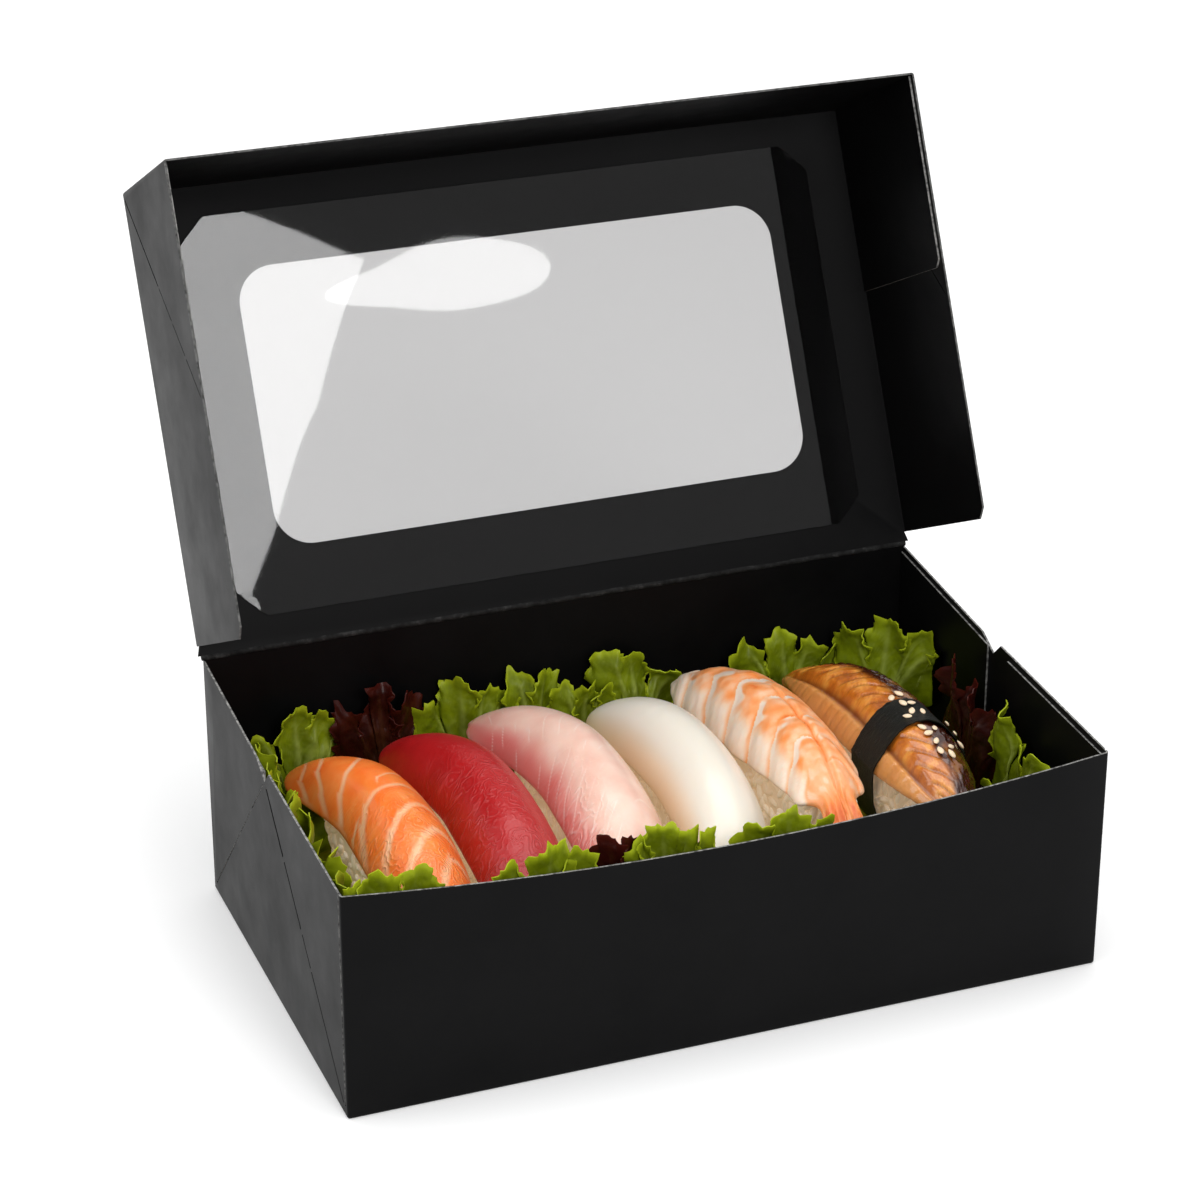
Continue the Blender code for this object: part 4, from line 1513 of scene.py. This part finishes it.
SEEDS = (
    # across and along on the fillet, turn in degrees
    (-1.6, -2.6, 20), (1.0, -1.2, 75), (-0.7, -7.4, 60), (1.4, -7.8, -40), (-0.2, -11.6, 15), (2.4, -12.0, 40),
    (-2.1, -13.2, 100), (-0.4, -18.0, 80), (2.8, -18.6, 20), (0.2, -20.6, -30), (8.6, -12.6, 70), (0.9, -23.6, 10),
    (9.4, -15.6, 95), (0.4, -27.0, 40), (4.2, -25.2, -15), (3.0, -28.0, 70), (10.0, -18.6, 30),
)
rng = random.Random(5)
seeds = []
for across, along, turn in SEEDS:
    calm()
    bpy.ops.mesh.primitive_uv_sphere_add(segments=16, ring_count=12, radius=1.0)
    seed = named("seed")
    on_band = abs(along - BAND_AT) < 6.6
    place, facing = top_point(eel_item, across, along)
    lengthwise = Matrix.Rotation(math.radians(turn), 3, facing) @ facing.orthogonal().normalized()
    lengthwise = (lengthwise + facing * rng.uniform(-0.1, 0.1)).normalized()
    side = facing.cross(lengthwise).normalized()
    grow = rng.uniform(0.74, 0.92)
    for vert in seed.data.vertices:
        x, y, z = vert.co
        narrow = 1.0 - 0.42 * max(0.0, z) ** 1.5
        local = (
            side * (0.98 * x * narrow)
            + facing * (0.50 * y * narrow + (1.35 if on_band else 0.55))
            + lengthwise * (1.55 * z)
        )
        vert.co = (place + local * grow) * MM
    seeds.append(seed)
sesame = joined("sesame_seeds", seeds)
face_outward(sesame)
dress(sesame, sesame_cream)
shaded(sesame, 80.0)
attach(sesame, "box")
print("sesame", len(SEEDS), "seeds")

# %% [markdown]
# ## Lettuce
# Frilled lettuce stands round the edge of the tray. A leaf is a sheet on a narrow foot that opens into a few broad
# lobes with deep round notches between them. Its rim grows faster than its middle, so it cannot lie flat: it
# waves, and the waves get shorter and steeper towards the edge, which ends in small uneven teeth. The sheet is a
# fine grid; the functions below give its outline and its waves.

# %% Leaf finishes
def leaf_finish(name, shades, rim, rib, translucent, gloss):
    material, link, node, shader = surface(name, Roughness=gloss, IOR=1.42, Specular_IOR_Level=0.28)
    place = stored(node, "leaf", "Vector")
    tone = ramp(node, shades)
    link(noise_on(node, link, place, Scale=0.16, Detail=5.0, Roughness=0.6), tone.inputs[0])
    ribbed = blended(node, link, stored(node, "rib"), tone.outputs[0], rib)
    # The rim is painted lighter: partly the leaf's paler edge and partly painted highlight.
    rim_tone_and_highlight = blended(node, link, stored(node, "edge"), ribbed, rim)
    link(rim_tone_and_highlight, shader.inputs["Base Color"])
    cells = node("TexVoronoi", Scale=0.55, feature="SMOOTH_F1")
    link(place, cells.inputs["Vector"])
    relief(node, link, shader, cells.outputs["Distance"], 0.45, 0.0006)
    glow = node("BsdfTranslucent")
    link(rim_tone_and_highlight, glow.inputs["Color"])
    mix = node("MixShader", Fac=translucent)
    output = material.node_tree.nodes["Material Output"]
    link(shader.outputs[0], mix.inputs[1])
    link(glow.outputs[0], mix.inputs[2])
    link(mix.outputs[0], output.inputs["Surface"])
    return material


leaf_green = leaf_finish(
    "green_lettuce",
    [(0.30, (0.095, 0.135, 0.002)), (0.50, (0.185, 0.245, 0.003)), (0.72, (0.310, 0.390, 0.006))],
    (0.52, 0.62, 0.020),
    (0.42, 0.50, 0.10),
    0.35,
    0.36,
)
leaf_red = leaf_finish(
    "red_lettuce",
    [(0.30, (0.012, 0.0015, 0.001)), (0.50, (0.028, 0.003, 0.002)), (0.75, (0.055, 0.008, 0.003))],
    (0.060, 0.007, 0.004),
    (0.06, 0.018, 0.006),
    0.15,
    0.30,
)


def leaf_values(obj):
    """The three values a leaf stores at its points: its own place, its rim, painted lighter as its paler edge and
    as painted highlight, and its ribs.
    """
    kinds = (("leaf", "FLOAT_VECTOR"), ("edge", "FLOAT"), ("rib", "FLOAT"))
    for name, kind in kinds:
        obj.data.attributes.new(name, kind, "POINT")
    return [obj.data.attributes[name].data for name, _ in kinds]


# %% Outline of a leaf
def arc_points(centre, half, top, depth):
    """A lobe's outline from its lower left over the top to its lower right; it is widest above its foot."""
    tall = min(depth, half * 1.35)
    points = []
    for step in range(17):
        turn = math.radians(222.0 - 264.0 * step / 16)
        points.append((centre + half * 0.98 * math.cos(turn), top - tall + tall * math.sin(turn)))
    return points


def rim_curve(lobes, foot_w, foot, count, seed):
    """`count` points along the whole free edge of the leaf, with its small teeth; x across and z up."""
    low = min(top for _, _, top in lobes)
    depth = 0.58 * (low - foot)
    first, last = lobes[0], lobes[-1]
    points = [(-foot_w * 0.5, foot), (first[0] - first[1] * 0.8, foot + 0.45 * (first[2] - foot))]
    for lobe in lobes:
        points += arc_points(*lobe, depth)
    points += [(last[0] + last[1] * 0.8, foot + 0.45 * (last[2] - foot)), (foot_w * 0.5, foot)]
    run = [0.0]
    for (x0, z0), (x1, z1) in zip(points, points[1:]):
        run.append(run[-1] + math.hypot(x1 - x0, z1 - z0))
    even = []
    k = 0
    for step in range(count):
        want = run[-1] * step / (count - 1)
        while k < len(run) - 2 and run[k + 1] < want:
            k += 1
        t = (want - run[k]) / max(1e-9, run[k + 1] - run[k])
        even.append([points[k][i] + (points[k + 1][i] - points[k][i]) * t for i in (0, 1)])
    for _ in range(3):
        even = [even[0]] + [
            [(a[i] + 2.0 * b[i] + c[i]) / 4.0 for i in (0, 1)] for a, b, c in zip(even, even[1:], even[2:])
        ] + [even[-1]]
    toothed = []
    for step, (x, z) in enumerate(even):
        before, after = even[max(0, step - 1)], even[min(count - 1, step + 1)]
        run_x, run_z = after[0] - before[0], after[1] - before[1]
        length = max(1e-9, math.hypot(run_x, run_z))
        along = run[-1] * step / (count - 1)
        bent = along + 1.2 * noise.noise(Vector((along / 4.0, seed * 3.1, 0.0)))
        point = 1.0 - abs(math.sin(math.pi * bent / 2.4))
        size = 0.5 + 2.4 * abs(noise.noise(Vector((along / 3.1, seed * 5.7, 2.0))))
        scallop = 1.0 - abs(math.sin(math.pi * (along + 1.5 * noise.noise(Vector((along / 6.0, seed, 3.0)))) / 5.6))
        bay = 1.9 * scallop - 0.7
        grow = (point * size + bay) * smooth(0.04, 0.14, step / count) * smooth(0.96, 0.86, step / count)
        toothed.append((x - run_z / length * grow, z + run_x / length * grow))
    return toothed, even


def frill(name, lobes, foot_w, foot, seed, lean=2.0, wave=1.0, columns=190, rows=30):
    """A leaf standing in its own plane: x across, y forward, z up, all in millimetres from its foot."""
    calm()
    bpy.ops.mesh.primitive_grid_add(x_subdivisions=columns, y_subdivisions=rows, size=2.0)
    obj = named(name)
    toothed, even = rim_curve(lobes, foot_w, foot, columns + 1, seed)
    place, edge, rib = leaf_values(obj)
    for index, vert in enumerate(obj.data.vertices):
        s, t = vert.co.x, (vert.co.y + 1.0) / 2.0
        column = min(columns, int(round((s + 1.0) / 2.0 * columns)))
        rim_x, rim_z = toothed[column]
        flat_x, flat_z = even[column]
        keep = smooth(0.84, 1.0, t)
        rim_x = flat_x + (rim_x - flat_x) * keep
        rim_z = flat_z + (rim_z - flat_z) * keep
        root = s * foot_w * 0.5 * (1.0 - 0.75 * t)
        x = root * (1.0 - t) + rim_x * t + (flat_x * 0.55 - root * 0.55) * t * (1.0 - t)
        z = foot + (rim_z - foot) * (0.35 * t * (1.0 - t) + t)
        drift = noise.noise(Vector((x / 15.0, z / 13.0, seed * 2.3)))
        y = math.sin(2.0 * math.pi * (x / 13.5 + 0.5 * drift) + seed) * 2.3 * t**1.3
        y += noise.noise(Vector((x / 6.0, z / 7.0, seed * 3.7))) * 1.8 * smooth(0.1, 0.8, t)
        y += noise.noise(Vector((x / 2.6, z / 3.0, seed * 1.7))) * 0.45
        curl = noise.noise(Vector((column / 17.0, seed * 9.1, 0.0)))
        y += curl * 5.0 * smooth(0.78, 1.0, t) ** 2
        y += noise.noise(Vector((column / 5.0, seed * 4.1, 2.0))) * 1.5 * smooth(0.86, 1.0, t)
        y = wave * y + lean * t
        ribs = max(
            math.exp(-(((x - c * t**1.1) / (0.30 + 0.8 * (1.0 - t))) ** 2)) for c, _, _ in lobes
        ) * smooth(1.0, 0.65, t)
        side = max(
            math.exp(-(((abs(x - c * t**1.1) - 0.9 * (z - foot) % 4.0 * 0.9) / 0.28) ** 2)) for c, _, _ in lobes
        ) * smooth(1.0, 0.8, t) * smooth(0.2, 0.5, t)
        y -= 0.5 * ribs + 0.2 * side
        place[index].vector = (x, z, seed * 10.0)
        # The rim value paints the edge lighter, partly the leaf's own paler edge and partly painted highlight.
        edge[index].value = 0.85 * smooth(0.90, 1.0, t) + 0.15 * smooth(0.3, 0.9, t)
        rib[index].value = min(1.0, 0.6 * ribs + 0.25 * side)
        vert.co = Vector((x, y, z)) * MM
    apply_modifier(obj, "SOLIDIFY", thickness=0.30 * MM, offset=0.0)
    return obj


def planted(obj, foot_at, face, tilt=0.0):
    """Turns a leaf to face its way, tilts it and puts its foot in place."""
    turn = Matrix.Rotation(math.radians(face), 4, "Z") @ Matrix.Rotation(math.radians(tilt), 4, "X")
    obj.data.transform(Matrix.Translation(Vector(foot_at) * MM) @ turn)
    return obj


def kept_inside(obj, x_limit=97.5, y_front=-57.3, y_back=57.6):
    """Leaf that would go through the card slides along it instead."""
    for vert in obj.data.vertices:
        x, y, z = vert.co / MM
        inside = (max(-x_limit, min(x_limit, x)), max(y_front, min(y_back, y)), max(1.2, z))
        vert.co = Vector(inside) * MM


# %% [markdown]
# The leaves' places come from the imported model. Each has its own list of lobes: where each is across the leaf,
# its half width and how high it reaches.

# %% Standing leaves
LEAF_FOOT = 23.6
LEAVES = (
    # node, foot x, foot y, facing, foot width, lean, lobes, red
    ("leaf_back_corner_left", -77.0, 50.5, 14, 15, 2.2,
     ((-11.0, 4.2, 46.5), (0.8, 6.0, 51.5), (7.6, 3.4, 49.0), (14.0, 4.8, 44.5)), False),
    ("leaf_back_red", -53.5, 51.5, 0, 11, 2.2,
     ((-10.2, 3.6, 49.0), (-4.6, 2.6, 47.0), (-0.6, 2.8, 54.3), (7.6, 5.0, 49.6)), True),
    ("leaf_back_a", -31.0, 51.5, 0, 13, 2.2,
     ((-10.2, 3.8, 46.8), (-1.0, 5.2, 51.2), (6.4, 3.6, 48.4), (12.0, 3.2, 45.2)), False),
    ("leaf_back_b", -12.0, 51.5, 0, 9, 2.2, ((-3.6, 4.6, 50.2), (4.2, 4.8, 49.6)), False),
    ("leaf_back_c", 1.0, 48.5, 0, 7, 1.0, ((-5.2, 3.6, 46.8), (1.2, 3.6, 46.2), (6.4, 3.0, 44.6)), False),
    ("leaf_back_d", 17.5, 51.5, 0, 13, 2.2,
     ((-7.0, 4.9, 52.0), (-0.6, 4.6, 50.8), (8.8, 5.0, 45.2), (12.6, 2.8, 42.8)), False),
    ("leaf_back_e", 62.0, 51.5, 0, 22, 2.2,
     ((-12.2, 5.4, 47.6), (-1.2, 5.2, 49.4), (7.4, 4.4, 45.8), (14.6, 4.4, 43.4), (22.5, 5.0, 40.6)), False),
    ("leaf_back_corner_right", 85.5, 42.5, -38, 14, 2.0,
     ((-8.5, 5.2, 50.5), (1.6, 6.4, 53.6), (11.0, 5.4, 51.0), (17.5, 4.4, 47.0)), False),
    ("leaf_right_red", 91.0, 1.0, -90, 14, 2.2, ((-13.0, 5.4, 53.6), (-3.0, 5.0, 50.0), (6.5, 4.6, 47.5)), True),
    ("leaf_right", 90.0, -30.0, -90, 18, 2.6,
     ((-14.5, 5.2, 53.0), (-4.5, 4.2, 47.0), (5.5, 5.0, 49.4), (15.0, 5.0, 44.0)), False),
    ("leaf_left_back", -91.8, 20.0, 90, 18, 2.6,
     ((-14.0, 5.0, 53.0), (-5.0, 5.4, 56.0), (5.0, 5.6, 56.6), (14.0, 5.0, 52.5)), False),
    ("leaf_left_front", -91.0, -21.0, 90, 22, 2.8,
     ((-19.0, 5.0, 55.0), (-9.5, 5.4, 55.5), (0.5, 5.6, 54.0), (10.5, 5.6, 56.0), (19.5, 4.6, 55.5)), False),
    ("leaf_front_corner_left", -85.0, -53.2, 180, 12, 1.2,
     ((-6.5, 5.0, 61.5), (3.0, 5.2, 62.5), (10.5, 3.8, 60.5)), False),
    ("leaf_front_a", -47.5, -53.8, 180, 16, 0.8, ((-8.6, 4.4, 58.6), (-1.4, 5.6, 61.6), (9.6, 3.6, 58.8)), False),
    ("leaf_front_red", -28.8, -53.4, 180, 7, 0.6, ((-2.8, 2.8, 59.2), (2.4, 3.4, 60.2)), True),
    ("leaf_front_b", -14.5, -53.8, 180, 13, 0.8,
     ((-7.6, 2.8, 58.2), (-2.6, 2.8, 59.4), (3.6, 5.6, 62.0), (9.8, 3.2, 58.2)), False),
    ("leaf_front_c", 14.5, -53.8, 180, 14, 0.8, ((-9.2, 3.4, 55.6), (-1.0, 5.6, 58.2), (8.0, 4.8, 57.2)), False),
)
leaf_faces = 0
for number, (name, x, y, face, foot_w, lean, lobes, red) in enumerate(LEAVES):
    standing = abs(face) == 180
    leaf = frill(name, lobes, foot_w, LEAF_FOOT, number + 1.0, lean, 0.55 if standing else 0.85)
    planted(leaf, (x, y, 0.0), face)
    kept_inside(leaf)
    dress(leaf, leaf_red if red else leaf_green)
    shaded(leaf, 80.0)
    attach(leaf, "box")
    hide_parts(name)
    leaf_faces += len(leaf.data.polygons)
print("standing leaves", len(LEAVES), "with", leaf_faces, "faces")

# %% [markdown]
# The nigiri lie on more lettuce. Its bulk is a low crumpled heap with small loose leaves tucked in at a slant all
# round the edge and in the gaps. They fill the view down the sides, where light still reaches.

# %% Lettuce bed
bed_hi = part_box("lettuce_bed")[1]
heap = block("lettuce_heap", (-96.8, -57.0, 0.9), (96.8, 57.0, bed_hi.z / MM - 0.6))
pick(heap, "FACE", lambda f: True)
bpy.ops.mesh.subdivide(number_cuts=70)
leave_edit()
place, edge, rib = leaf_values(heap)
for index, vert in enumerate(heap.data.vertices):
    x, y, z = vert.co / MM
    fold = noise.noise(Vector((x / 11.0, y / 11.0, 3.0))) * 2.6
    fold += abs(noise.noise(Vector((x / 5.0, y / 5.0, 8.0)))) * 3.4
    lift = smooth(2.0, 20.0, z)
    pull = 0.25 + 0.7 * abs(noise.noise(Vector((x / 6.0, y / 6.0, z / 5.0))))
    vert.co = Vector((x - math.copysign(pull, x), y - math.copysign(pull, y), z + lift * (fold - 2.6))) * MM
    place[index].vector = (x, y, 3.0 * z)
    # Painted highlight: the raised crests of the heap are marked to take the lighter rim colour.
    edge[index].value = 0.5 * smooth(0.8, 2.0, fold)
    rib[index].value = 0.0
dress(heap, leaf_green)
shaded(heap, 80.0)
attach(heap, "box")
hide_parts("lettuce_bed")

rng = random.Random(31)
tucked = []
spots = []
for k in range(9):
    spots.append((-92.0 + rng.uniform(-1.0, 1.0), -50.0 + 11.5 * k, 90 + rng.uniform(-14, 14)))
    spots.append((87.5 + rng.uniform(-1.5, 1.5), -50.0 + 11.5 * k, -90 + rng.uniform(-22, 22)))
for k in range(15):
    spots.append((-84.0 + 12.0 * k, 47.5 + rng.uniform(-1.0, 1.5), rng.uniform(-24, 24)))
    spots.append((-84.0 + 12.0 * k, -50.5 + rng.uniform(-1.0, 1.0), 180 + rng.uniform(-24, 24)))
for k, (x, y, face) in enumerate(spots):
    half = rng.uniform(3.6, 5.2)
    tall = rng.uniform(13.0, 21.0) * (0.72 if abs(face) > 120 else 1.0)
    lobes = ((-half, half * 0.95, tall * rng.uniform(0.8, 1.0)), (half * 0.9, half, tall * rng.uniform(0.8, 1.0)))
    small = frill("loose", lobes, 7.0, 0.0, 40.0 + k, 0.5, 0.8, 80, 14)
    planted(small, (x, y, 21.0), face, rng.uniform(8.0, 30.0) * (0.4 if abs(face) > 120 else 1.0))
    tucked.append(small)
loose = joined("loose_lettuce", tucked)
kept_inside(loose)
dress(loose, leaf_green)
shaded(loose, 80.0)
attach(loose, "box")
print("bed", len(heap.data.polygons) + len(loose.data.polygons), "faces")
